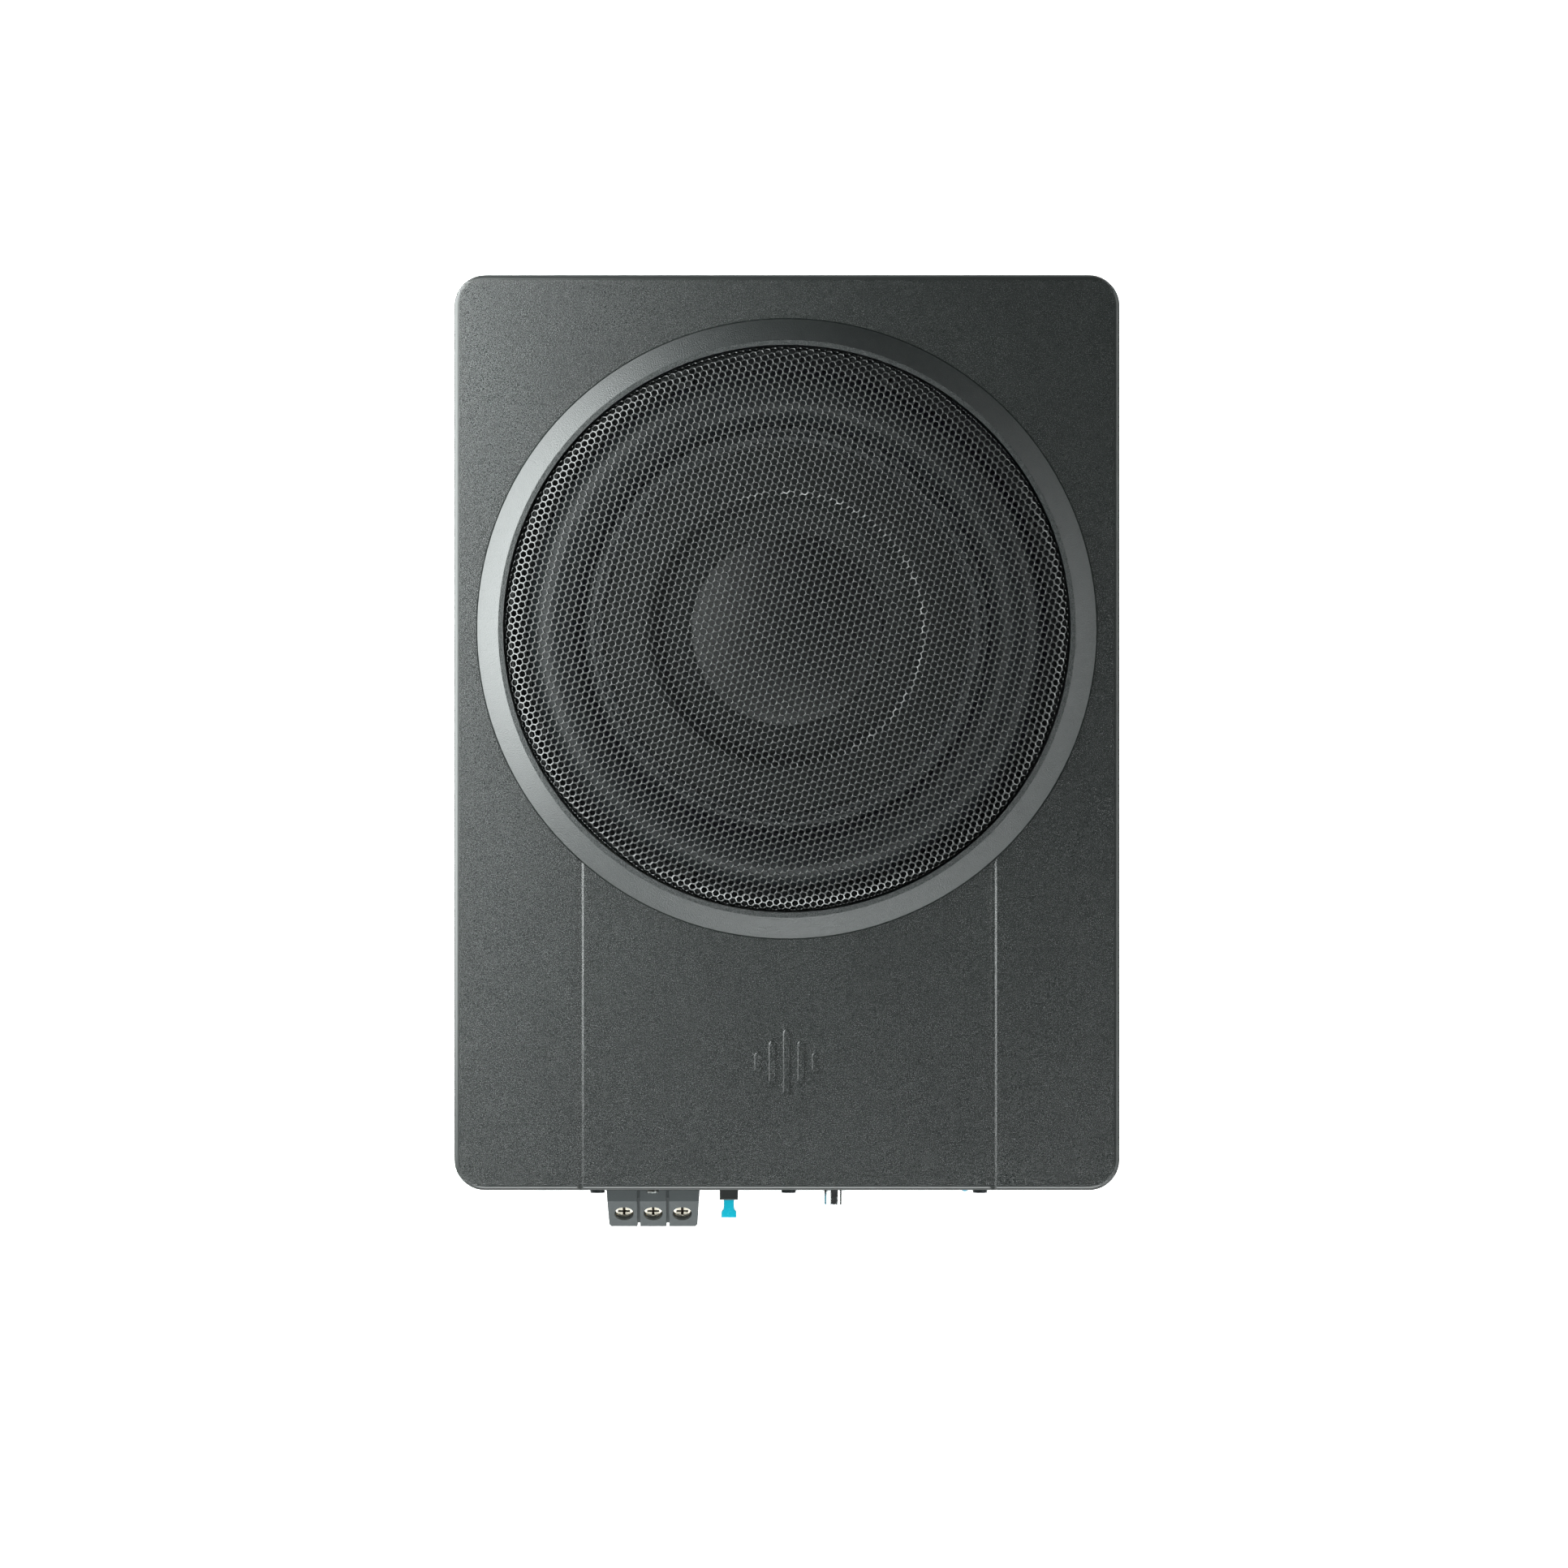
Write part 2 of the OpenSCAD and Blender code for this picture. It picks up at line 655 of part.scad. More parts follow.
// Side view of the terminal block: a flat top, then a slope down to the front
module block_outline(back) {
    polygon([
        [behind(back), block_low_z], [behind(-block_reach), block_low_z],
        [behind(-block_reach), block_top_z - block_reach + block_step],
        [behind(-block_step), block_top_z], [behind(back), block_top_z],
    ]);
}

// Plan of the terminal block: sides that draw in a little towards the front, and blunt front corners
module block_plan(back) {
    half = block_w / 2;
    tip = half - block_taper;
    polygon([
        [-half, behind(back)], [-half, behind(0)], [-tip, behind(block_corner - block_reach)],
        [block_corner - tip, behind(-block_reach)], [tip - block_corner, behind(-block_reach)],
        [tip, behind(block_corner - block_reach)], [half, behind(0)], [half, behind(back)],
    ]);
}

module terminal_block() color("#555a5c") {
    back = 12;
    difference() {
        union() {
            intersection() {
                translate([block_x - block_w / 2, 0, 0]) rotate([90, 0, 90]) linear_extrude(block_w)
                    block_outline(back);
                translate([block_x, 0, block_low_z - 1]) linear_extrude(block_top_z - block_low_z + 2)
                    block_plan(back);
            }
            // Foot that stands on the board, behind the panel
            translate([block_x - block_w / 2, behind(board_from), board_top_z])
                cube([block_w, 14, block_top_z - board_top_z]);
            // Lug behind the panel that the block's own screw goes into
            block_in(block_x, block_top_z + 2.5, 8, 6.5, panel_t, 10);
        }
        for (i = [1:3]) {
            clamp_pocket(i);
            rod_in(terminal_x(i), clamp_z, -block_reach - 1, 8, 3.6);
            on_screw_axis(i) translate([0, 0, -9]) cylinder(h = 12, r = 3.65);
        }
        rod_in(block_x, block_screw_z, 0, 8, 1.25 + thread_gap);
        // Grooves between the terminals, over the top, the slope and the front
        for (i = [1:2]) translate([(terminal_x(i) + terminal_x(i + 1)) / 2 - block_groove_w / 2, 0, 0])
            rotate([90, 0, 90]) linear_extrude(block_groove_w) difference() {
                translate([behind(-block_reach - 1), block_low_z - 1]) square([block_reach + 0.4, 40]);
                translate([block_groove_d, -block_groove_d]) block_outline(block_reach + 20);
            }
    }
}

clamp_w = 8.2;
clamp_front = -11;
clamp_back = 7;
clamp_low = clamp_z - 4.2;
clamp_high = 38;

// Room for one brass clamp inside the terminal block
module clamp_pocket(i) {
    translate([terminal_x(i) - clamp_w / 2, behind(clamp_front), clamp_low])
        cube([clamp_w, clamp_back - clamp_front, clamp_high - clamp_low]);
}

module terminal_clamps() color("#c9a85a") {
    for (i = [1:3]) difference() {
        intersection() {
            clamp_pocket(i);
            // The clamp's top front corner is bevelled under the screw's seat
            on_screw_axis(i) translate([-10, -30, -60]) cube([20, 60, 60 - 7.2]);
        }
        rod_in(terminal_x(i), clamp_z, clamp_front - 1, clamp_back - clamp_front - 1, wire_r);
        on_screw_axis(i) translate([0, 0, -16]) cylinder(h = 20, r = m4_r + thread_gap);
    }
}

// Depth of the screw heads' tops below the sloped face, with the clamps open
terminal_head_depth = 1.4;
terminal_head_h = 2.6;
terminal_tip_depth = 9.8;

module terminal_screw(i) color("#c3c7c8") {
    head_low = -terminal_head_depth - terminal_head_h;
    on_screw_axis(i) difference() {
        union() {
            translate([0, 0, head_low]) cylinder(h = terminal_head_h, r = 3.3);
            translate([0, 0, -terminal_tip_depth]) cylinder(h = terminal_tip_depth + head_low + 1, r = m4_r);
        }
        for (a = [0, 90]) rotate(a) translate([0, 0, -terminal_head_depth]) cube([4.4, 1, 2.4], center = true);
    }
}

// Blade fuse, standing on edge in its holder
fuse_z = 38;
holder_w = 6.9;
holder_h = 24;
holder_proud = 4.3;
fuse_proud = 11.2;
fuse_head_w = 5.8;
fuse_waist_w = 3.9;
fuse_head_l = 3.3;
fuse_h = 19;
fuse_waist_h = 16.4;
blade_w = 5;
blade_t = 0.8;
blade_pitch = 10.6;
fuse_slack = 0.35;
clip_w = 3.2;

module fuse_holder() color("#131415") {
    slot_w = fuse_waist_w + 2 * fuse_slack;
    slot_h = fuse_waist_h + 2 * fuse_slack;
    holder_back = board_from + 8;
    difference() {
        union() {
            block_in(fuse_x, fuse_z, holder_w, holder_h, -holder_proud, holder_back);
            // Foot that stands on the board
            block_in(fuse_x, (fuse_z + board_top_z) / 2, holder_w, fuse_z - board_top_z,
                     board_from, holder_back);
        }
        block_in(fuse_x, fuse_z, slot_w, slot_h, -holder_proud - 1, 3);
        for (s = [-1, 1]) block_in(fuse_x, fuse_z + s * blade_pitch / 2, clip_w, blade_w + 1, 2, 17);
    }
}

module fuse_clips() color("#c9a85a") {
    for (s = [-1, 1]) difference() {
        block_in(fuse_x, fuse_z + s * blade_pitch / 2, clip_w, blade_w + 1, 5, 17);
        block_in(fuse_x, fuse_z + s * blade_pitch / 2, blade_t + 0.2, blade_w + 2, 4, 15.5);
    }
}

module fuse_body() color("#13b4cf") {
    waist_out = fuse_proud - fuse_head_l;
    block_in(fuse_x, fuse_z, fuse_head_w, fuse_h, -fuse_proud, -waist_out);
    block_in(fuse_x, fuse_z, fuse_waist_w, fuse_waist_h, -waist_out, 2);
}

module fuse_blades() color("#b9bcbe") {
    for (s = [-1, 1]) block_in(fuse_x, fuse_z + s * blade_pitch / 2, blade_t, blade_w, 2, 14.5);
}

// Two leads that stand on the board behind a part of the panel and run up to its back at height z
module leads(x, spread, z, d) {
    for (s = [-1, 1]) translate([x + s * spread - 0.5, behind(d), board_top_z]) cube([1, 1, z - board_top_z]);
}

// Two control knobs, side by side, each in the body of its control
knob_mid_x = -1.6;
knob_z = 36;
knob_r = 2.6;
knob_proud = 1.2;

// The left knob for s = -1 and the right one for s = 1
function knob_x(s) = knob_mid_x + s * knob_gap;

module pot(s) {
    difference() {
        block_in(knob_x(s), knob_z, 9.6, 10.6, 3, 11);
        rod_in(knob_x(s), knob_z, 2, 6, knob_r + 0.05);
    }
    leads(knob_x(s), 3, knob_z, 11);
}

module knob(s) {
    difference() {
        rod_in(knob_x(s), knob_z, -knob_proud, 8.8, knob_r);
        block_in(knob_x(s), knob_z, 4, 0.9, -knob_proud - 1, -knob_proud + 1.1);
    }
}

module level_pot() color("#23364a") pot(-1);
module level_knob() color("#101112") knob(-1);
module lowpass_pot() color("#23364a") pot(1);
module lowpass_knob() color("#101112") knob(1);

// Two signal sockets, one above the other
phono_z = [43.5, 28.5];
phono_proud = 6.3;
phono_bore_r = 1.65;
// Below this height the cover's wall is behind the panel, and the sockets' feet start behind it
wall_top_z = panel_z - panel_h / 2 + 2.6;
foot_back = 6;
phono_wall = 0.6;
// The barrel is full size only outside the panel, and its neck behind that is a little thinner
phono_neck_from = -0.3;
phono_neck_r = phono_r - 0.25;

module phono_housing() color("#17191a") {
    housing_top = 50;
    difference() {
        union() {
            block_in(phono_x, (housing_top + wall_top_z) / 2, 12, housing_top - wall_top_z,
                     panel_t + 0.2, 16);
            // Foot that stands on the board, behind the cover's wall
            block_in(phono_x, (wall_top_z + board_top_z) / 2 + 1, 12, wall_top_z - board_top_z + 2,
                     foot_back, 16);
            for (z = phono_z) rod_in(phono_x, z, 0, 3, phono_r + 0.5);
        }
        for (z = phono_z) rod_in(phono_x, z, -1, 12, phono_neck_r);
    }
}

module phono_barrels() color("#c9ccce") {
    for (z = phono_z) difference() {
        union() {
            rod_in(phono_x, z, -phono_proud, phono_proud + phono_neck_from, phono_r);
            rod_in(phono_x, z, -phono_proud + 1, 10, phono_neck_r);
        }
        rod_in(phono_x, z, -phono_proud - 1, 13, phono_r - phono_wall);
    }
}

module phono_insulators() color("#e6e4df") {
    for (z = phono_z) difference() {
        rod_in(phono_x, z, -phono_proud + 0.6, 10, phono_r - phono_wall);
        rod_in(phono_x, z, -phono_proud - 1, 10, phono_bore_r);
    }
}

// Speaker-level input socket with its pins, and the remote control's port above it
socket_x = 38.5;
socket_z = 27.5;
socket_w = 15;
socket_h = 9;
socket_wall = 1;
socket_depth = 9;
port_z = 43;
port_w = 13;
port_h = 10;

module high_level_socket() color("#dcd9cf") {
    difference() {
        union() {
            block_in(socket_x, socket_z, socket_w, socket_h, -0.5, 12);
            block_in(socket_x, (socket_z + board_top_z) / 2, socket_w, socket_z - board_top_z, foot_back, 14);
        }
        block_in(socket_x, socket_z, socket_w - 2 * socket_wall, socket_h - 2 * socket_wall, -1, socket_depth);
    }
}

module high_level_pins() color("#c9a85a") {
    for (i = [0:3]) block_in(socket_x + (i - 1.5) * 3, socket_z - 2.6, 0.7, 0.7, 2.5, socket_depth);
}

module remote_port() color("#101112") {
    difference() {
        block_in(socket_x, port_z, port_w, port_h, -0.3, 16);
        block_in(socket_x, port_z + 0.5, port_w - 3, port_h - 4, -1, 12);
        block_in(socket_x, port_z - 2.6, 4, 2.4, -1, 12);
    }
    leads(socket_x, 4, port_z, 16);
}

// Two slide switches: phase, and automatic switch-on
switch_x = 58;
switch_z = [43, 28];
switch_travel = 2.5;
slider_w = 3;
slider_h = 2.2;

module switch_body(z) {
    difference() {
        block_in(switch_x, z, 14, 8, panel_t + 0.2, 9);
        block_in(switch_x, z, slider_w + switch_travel + 0.7, slider_h + 0.5, 1, 7);
    }
    leads(switch_x, z == switch_z[0] ? 6 : 3, z, 9);
}

module slider(z) {
    block_in(switch_x, z, slider_w, slider_h, -0.8, 6.6);
}

module phase_switch() color("#9a9ea0") switch_body(switch_z[0]);
module phase_slider() color("#0e0f10") slider(switch_z[0]);
module auto_switch() color("#9a9ea0") switch_body(switch_z[1]);
module auto_slider() color("#0e0f10") slider(switch_z[1]);

led_x = 67.5;
led_z = 36;
led_r = 1.5;

module power_led() color("#5fd0ff") {
    rod_in(led_x, led_z, -0.4, 6, led_r);
    translate([led_x, behind(-0.4), led_z]) sphere(r = led_r, $fn = 48);
    for (s = [-1, 1]) {
        block_in(led_x + s * 0.8, led_z, 0.5, 0.5, 5, 9);
        block_in(led_x + s * 0.8, (led_z + board_top_z) / 2, 0.5, led_z - board_top_z, 8.5, 9);
    }
}

// ---------- amplifier ----------

module amp_board() color("#1d5a3a") {
    difference() {
        translate([-board_w / 2, behind(board_from), board_z]) cube([board_w, board_to - board_from, board_t]);
        for (p = spacer_at) translate([p[0], behind(p[1]), board_z - 1]) cylinder(h = board_t + 2, r = 1.7);
    }
}

module board_spacers() color("#b08d45") {
    for (p = spacer_at) translate([p[0], behind(p[1]), floor_top_z]) difference() {
        cylinder(h = board_z - floor_top_z, r = 3, $fn = 6);
        translate([0, 0, -1]) cylinder(h = 8, r = 1.5);
    }
}

module board_screws() color("#b9bcbe") {
    for (p = spacer_at) translate([p[0], behind(p[1]), 0]) difference() {
        union() {
            translate([0, 0, board_top_z]) cylinder(h = 2, r = 2.8);
            translate([0, 0, floor_top_z + 0.5]) cylinder(h = board_top_z - floor_top_z, r = 1.5);
        }
        translate([0, 0, board_top_z + 1.6]) for (a = [0, 90]) rotate(a) cube([3.2, 0.7, 2], center = true);
    }
}

module filter_capacitors() color("#20242c") {
    can_r = 8;
    can_h = 25;
    can_pitch = 19;
    for (i = [0:3]) translate([-26 + i * can_pitch, behind(48), board_top_z]) rotate_extrude()
        polygon([
            [0, 0], [can_r, 0], [can_r, 1.6], [can_r - 0.4, 2.2], [can_r, 2.8],
            [can_r, can_h - 0.8], [can_r - 0.8, can_h], [0, can_h],
        ]);
}

module power_inductor() color("#b0602a") {
    coil_wire_r = 7;
    coil_mid_r = 12.5;
    translate([-64, behind(52), board_top_z + coil_wire_r]) rotate_extrude()
        translate([coil_mid_r, 0]) circle(r = coil_wire_r);
}

// Transformer: two flanges, the winding between them, and a core leg at each side
module transformer() color("#3b3f42") {
    core_w = 32;
    core_l = 28;
    core_h = 6;
    winding_h = 12;
    translate([62, behind(54), board_top_z]) {
        for (z = [0, core_h + winding_h]) translate([-core_w / 2, -core_l / 2, z])
            cube([core_w, core_l, core_h]);
        translate([-11, -12, core_h]) cube([22, 24, winding_h]);
        for (s = [-1, 1]) translate([s * 13.5 - 2.5, -core_l / 2, core_h]) cube([5, core_l, winding_h]);
    }
}

spreader_from = 110;
spreader_w = 170;
spreader_t = 8;
spreader_h = 22;
transistor_n = 6;
transistor_pitch = 24;
clamp_bolt_x = 72;

module heat_spreader() color("#a4a8aa") {
    translate([-spreader_w / 2, behind(spreader_from), floor_top_z]) {
        cube([spreader_w, spreader_t, spreader_h]);
        cube([spreader_w, 2 * spreader_t, 4]);
    }
}

// Each has a body that lies against the spreader and three legs down to the board
module power_transistors() color("#17181a") {
    body_t = 4.5;
    leg_l = 4;
    for (i = [0:transistor_n - 1])
        translate([(i - (transistor_n - 1) / 2) * transistor_pitch, behind(spreader_from - body_t), 0]) {
            translate([-5, 0, board_top_z + leg_l]) cube([10, body_t, 15]);
            for (k = [-1:1]) translate([k * 2.54 - 0.4, 1.8, board_top_z]) cube([0.8, 0.6, leg_l]);
        }
}

module transistor_clamp() color("#8d9193") {
    difference() {
        translate([-76, behind(spreader_from - 6), board_top_z + 9]) cube([152, 1.5, 8]);
        for (i = [-1, 1]) rod_in(i * clamp_bolt_x, board_top_z + 13, spreader_from - 8, 8, 1.7);
    }
    for (i = [-1, 1]) difference() {
        rod_in(i * clamp_bolt_x, board_top_z + 13, spreader_from - 4.5, 4.5, 3);
        rod_in(i * clamp_bolt_x, board_top_z + 13, spreader_from - 8, 12, 1.7);
    }
}

base_tray();
rubber_feet();
cover_gasket();
top_cover();
threaded_inserts();
base_screws();
grille_ring();
grille();
woofer_basket();
woofer_gasket();
woofer_screws();
surround();
cone();
dust_cap();
coil_former();
voice_coil();
spider();
top_plate();
magnet();
pole_yoke();
woofer_terminals();
tinsel_leads();
speaker_leads();
connector_panel();
panel_screws();
block_screw();
terminal_block();
terminal_clamps();
terminal_screw(1);  // terminal_screw_1
terminal_screw(2);  // terminal_screw_2
terminal_screw(3);  // terminal_screw_3
fuse_holder();
fuse_clips();
fuse_body();
fuse_blades();
level_pot();
level_knob();
lowpass_pot();
lowpass_knob();
phono_housing();
phono_barrels();
phono_insulators();
high_level_socket();
high_level_pins();
remote_port();
phase_switch();
phase_slider();
auto_switch();
auto_slider();
power_led();
amp_board();
board_spacers();
board_screws();
filter_capacitors();
power_inductor();
transformer();
heat_spreader();
power_transistors();
transistor_clamp();
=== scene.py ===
"""Looks for the powered car subwoofer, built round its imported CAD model.

Metres, +Z up, the grille faces up and the connector panel faces -Y.
"""
import math

import bpy
import numpy as np
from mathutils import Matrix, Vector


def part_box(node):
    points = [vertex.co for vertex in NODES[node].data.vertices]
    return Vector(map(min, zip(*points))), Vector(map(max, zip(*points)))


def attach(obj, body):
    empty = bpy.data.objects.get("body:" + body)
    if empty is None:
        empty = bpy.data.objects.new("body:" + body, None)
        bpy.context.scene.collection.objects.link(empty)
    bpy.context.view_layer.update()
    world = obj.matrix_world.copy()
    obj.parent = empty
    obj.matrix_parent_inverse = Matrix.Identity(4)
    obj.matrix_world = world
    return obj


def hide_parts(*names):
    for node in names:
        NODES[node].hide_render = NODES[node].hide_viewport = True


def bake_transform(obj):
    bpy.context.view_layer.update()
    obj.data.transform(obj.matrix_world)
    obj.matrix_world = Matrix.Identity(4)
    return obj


MM = 0.001

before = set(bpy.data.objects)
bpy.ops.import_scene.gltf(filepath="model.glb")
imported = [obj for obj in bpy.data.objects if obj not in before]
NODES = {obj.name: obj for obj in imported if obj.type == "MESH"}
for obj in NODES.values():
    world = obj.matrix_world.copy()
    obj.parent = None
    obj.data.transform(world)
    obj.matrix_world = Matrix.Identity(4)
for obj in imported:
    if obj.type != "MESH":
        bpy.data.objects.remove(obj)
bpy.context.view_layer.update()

# ---------- places and sizes, all taken from the CAD model ----------

COVER_LOW, COVER_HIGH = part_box("top_cover")
RING_LOW, RING_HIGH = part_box("grille_ring")
GRILLE_LOW, GRILLE_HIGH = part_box("grille")
SURROUND_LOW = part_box("surround")[0]

EMBLEM_H = 0.45 * MM
COVER_TOP = COVER_HIGH.z - EMBLEM_H
COVER_MID_Y = (COVER_LOW.y + COVER_HIGH.y) / 2
WOOFER_Y = (RING_LOW.y + RING_HIGH.y) / 2
RING_TOP = RING_HIGH.z
GRILLE_R = (GRILLE_HIGH.x - GRILLE_LOW.x) / 2
GRILLE_TOP = GRILLE_HIGH.z


# ---------- material building blocks ----------

class Look:
    """A material in the making: its Principled shader, and patterns in the object's own coordinates."""

    def __init__(self, name, colour, rough=0.5, metal=0.0, **sockets):
        self.mat = bpy.data.materials.new(name)
        self.mat.use_nodes = True
        self.nt = self.mat.node_tree
        self.shader = self.nt.nodes["Principled BSDF"]
        self.set("Base Color", rgba(colour))
        self.set("Roughness", rough)
        self.set("Metallic", metal)
        for key, value in sockets.items():
            self.set(key.replace("_", " "), value)
        self.place = self.add("ShaderNodeTexCoord").outputs["Object"]
        self.mat.diffuse_color = rgba(colour)

    def add(self, kind, **settings):
        node = self.nt.nodes.new(kind)
        for key, value in settings.items():
            setattr(node, key, value)
        return node

    def set(self, socket, value):
        self.shader.inputs[socket].default_value = value

    def link(self, a, b):
        self.nt.links.new(a, b)

    def stretched(self, scale, offset=(0, 0, 0)):
        """The object's coordinates, scaled per axis."""
        node = self.add("ShaderNodeMapping")
        node.inputs["Scale"].default_value = scale
        node.inputs["Location"].default_value = offset
        self.link(self.place, node.inputs["Vector"])
        return node.outputs["Vector"]

    def noise(self, size, detail=2.0, rough=0.5, place=None):
        """Noise whose features are about size metres across."""
        node = self.add("ShaderNodeTexNoise")
        node.inputs["Scale"].default_value = 1 / size
        node.inputs["Detail"].default_value = detail
        node.inputs["Roughness"].default_value = rough
        self.link(place or self.place, node.inputs["Vector"])
        return node.outputs["Fac"]

    def cells(self, size, feature="F1", smooth=0.0):
        """Distance to the nearest of points about size metres apart."""
        node = self.add("ShaderNodeTexVoronoi", feature=feature)
        node.inputs["Scale"].default_value = 1 / size
        if feature == "SMOOTH_F1":
            node.inputs["Smoothness"].default_value = smooth
        self.link(self.place, node.inputs["Vector"])
        return node.outputs["Distance"]

    def waves(self, size, axis):
        """Even bands size metres apart, across an axis."""
        node = self.add("ShaderNodeTexWave", bands_direction=axis)
        # At scale 1 the texture repeats every pi / 10 metres
        node.inputs["Scale"].default_value = math.pi / (10 * size)
        self.link(self.place, node.inputs["Vector"])
        return node.outputs["Fac"]

    def spread(self, value, lo, hi, from_lo=0.0, from_hi=1.0):
        """Runs from lo to hi as value goes from from_lo to from_hi, and stays there outside them."""
        node = self.add("ShaderNodeMapRange")
        for key, v in (("From Min", from_lo), ("From Max", from_hi), ("To Min", lo), ("To Max", hi)):
            node.inputs[key].default_value = v
        self.link(value, node.inputs["Value"])
        return node.outputs["Result"]

    def maths(self, kind, a, b=0.0):
        node = self.add("ShaderNodeMath", operation=kind)
        for value, socket in ((a, node.inputs[0]), (b, node.inputs[1])):
            if isinstance(value, (int, float)):
                socket.default_value = value
            else:
                self.link(value, socket)
        return node.outputs[0]

    def axis(self, name):
        node = self.add("ShaderNodeSeparateXYZ")
        self.link(self.place, node.inputs[0])
        return node.outputs[name]

    def radius(self, x, y):
        """The distance from an upright axis through x, y."""
        node = self.add("ShaderNodeVectorMath", operation="LENGTH")
        self.link(self.stretched((1, 1, 0), (-x, -y, 0)), node.inputs[0])
        return node.outputs["Value"]

    def upward(self, none=0.25, full=0.6):
        """1 on surfaces that face up or lean back, 0 on upright walls."""
        split = self.add("ShaderNodeSeparateXYZ")
        self.link(self.add("ShaderNodeNewGeometry").outputs["Normal"], split.inputs[0])
        return self.spread(split.outputs["Z"], 0.0, 1.0, none, full)

    def grazing(self, none=0.38, full=0.6):
        """0 where the surface is seen from in front, 1 where it is seen at a shallow angle."""
        node = self.add("ShaderNodeLayerWeight")
        node.inputs["Blend"].default_value = 0.5
        return self.spread(node.outputs["Facing"], 0.0, 1.0, none, full)

    def near(self, value, middle, reach, soft):
        """1 where value is within reach of middle, 0 further away than reach + soft."""
        off = self.maths("ABSOLUTE", self.maths("SUBTRACT", value, middle))
        return self.spread(off, 1.0, 0.0, reach, reach + soft)

    def rough(self, value, lo, hi):
        self.link(self.spread(value, lo, hi), self.shader.inputs["Roughness"])

    def mix(self, value, a, b):
        """Colour a where value is 0 and b where it is 1. Either may be a colour or a socket."""
        node = self.add("ShaderNodeMix", data_type="RGBA")
        for c, i in ((a, 6), (b, 7)):
            if isinstance(c, (tuple, list, str)):
                node.inputs[i].default_value = rgba(c)
            else:
                self.link(c, node.inputs[i])
        self.link(value, node.inputs[0])
        return node.outputs[2]

    def colour(self, socket):
        self.link(socket, self.shader.inputs["Base Color"])

    def bump(self, value, depth, strength=1.0):
        """Raises the surface by up to depth metres where value is 1. Later calls add to earlier ones."""
        node = self.add("ShaderNodeBump")
        node.inputs["Distance"].default_value = depth
        node.inputs["Strength"].default_value = strength
        self.link(value, node.inputs["Height"])
        normal = self.shader.inputs["Normal"]
        if normal.is_linked:
            self.link(normal.links[0].from_socket, node.inputs["Normal"])
        self.link(node.outputs["Normal"], normal)


def rgba(c):
    """A colour as linear RGBA, from linear numbers or from an sRGB hex string."""
    if isinstance(c, str):
        parts = [int(c[i:i + 2], 16) / 255 for i in (1, 3, 5)]
        return tuple(p / 12.92 if p <= 0.04045 else ((p + 0.055) / 1.055) ** 2.4 for p in parts) + (1.0,)
    return tuple(c) + (1.0,) * (4 - len(c))


def dress(look, *names):
    """Gives the CAD nodes of these names the look's material."""
    for name in names:
        data = NODES[name].data
        data.materials.clear()
        data.materials.append(look.mat)


# ---------- materials ----------

GRAIN_SIZE = 0.33 * MM
GRAIN_DEPTH = 0.115 * MM
PIT_SHEEN = 0.25
PAINTED_SHADE_SHEEN = 0.08
GRAZING_SHEEN = 0.03


def grain(look, shine, mask=None, smooth=0.0, painted_shade=None):
    """Fine mould grain: rounded pebbles with pits between them that reflect less.

    Where the mask is 0 the surface is even and takes the sheen of a pit of depth smooth. Where the last
    argument is 1 it hardly reflects at all: that argument carries painted shade. Seen at a shallow angle it
    reflects less than real plastic does, because the near key light would otherwise wash it out.
    """
    pebbles = look.cells(GRAIN_SIZE, "SMOOTH_F1", smooth=0.35)
    soft = look.noise(GRAIN_SIZE, detail=2.5, rough=0.6)
    height = look.maths("SUBTRACT", soft, look.maths("MULTIPLY", pebbles, 0.5))
    pits = look.spread(height, 1.0, 0.0, 0.08, 0.44)
    if mask is not None:
        height = look.maths("MULTIPLY", height, mask)
        pits = look.maths("ADD", look.maths("MULTIPLY", pits, mask), look.spread(mask, smooth, 0.0))
    look.bump(height, GRAIN_DEPTH)
    sheen = look.spread(pits, shine, PIT_SHEEN * shine)
    # Painted shade: the sheen falls to a small share of itself where the last argument is 1
    if painted_shade is not None:
        sheen = look.maths("MULTIPLY", sheen, look.spread(painted_shade, 1.0, PAINTED_SHADE_SHEEN))
    sheen = look.maths("MULTIPLY", sheen, look.spread(look.grazing(), 1.0, GRAZING_SHEEN))
    look.link(sheen, look.shader.inputs["Specular IOR Level"])
    # The callers darken the grain's low spots with this noise, a painted shade, and may vary roughness with
    # it
    return soft


# The cover's grain is whole GRAIN_IN from its edge and gone GRAIN_OUT from it. It comes back between
# EDGE_DROP and WALL_DROP down the walls
GRAIN_IN = 2.2 * MM
GRAIN_OUT = 1.4 * MM
EDGE_DROP = 3 * MM
WALL_DROP = 4 * MM
# The painted shade line round the ring, where the cover hardly reflects: how far outside the ring its middle
# lies, its half width and its soft edge
SHADE_LINE_OFF = 0.1 * MM
SHADE_LINE_REACH = 0.2 * MM
SHADE_LINE_SOFT = 0.3 * MM


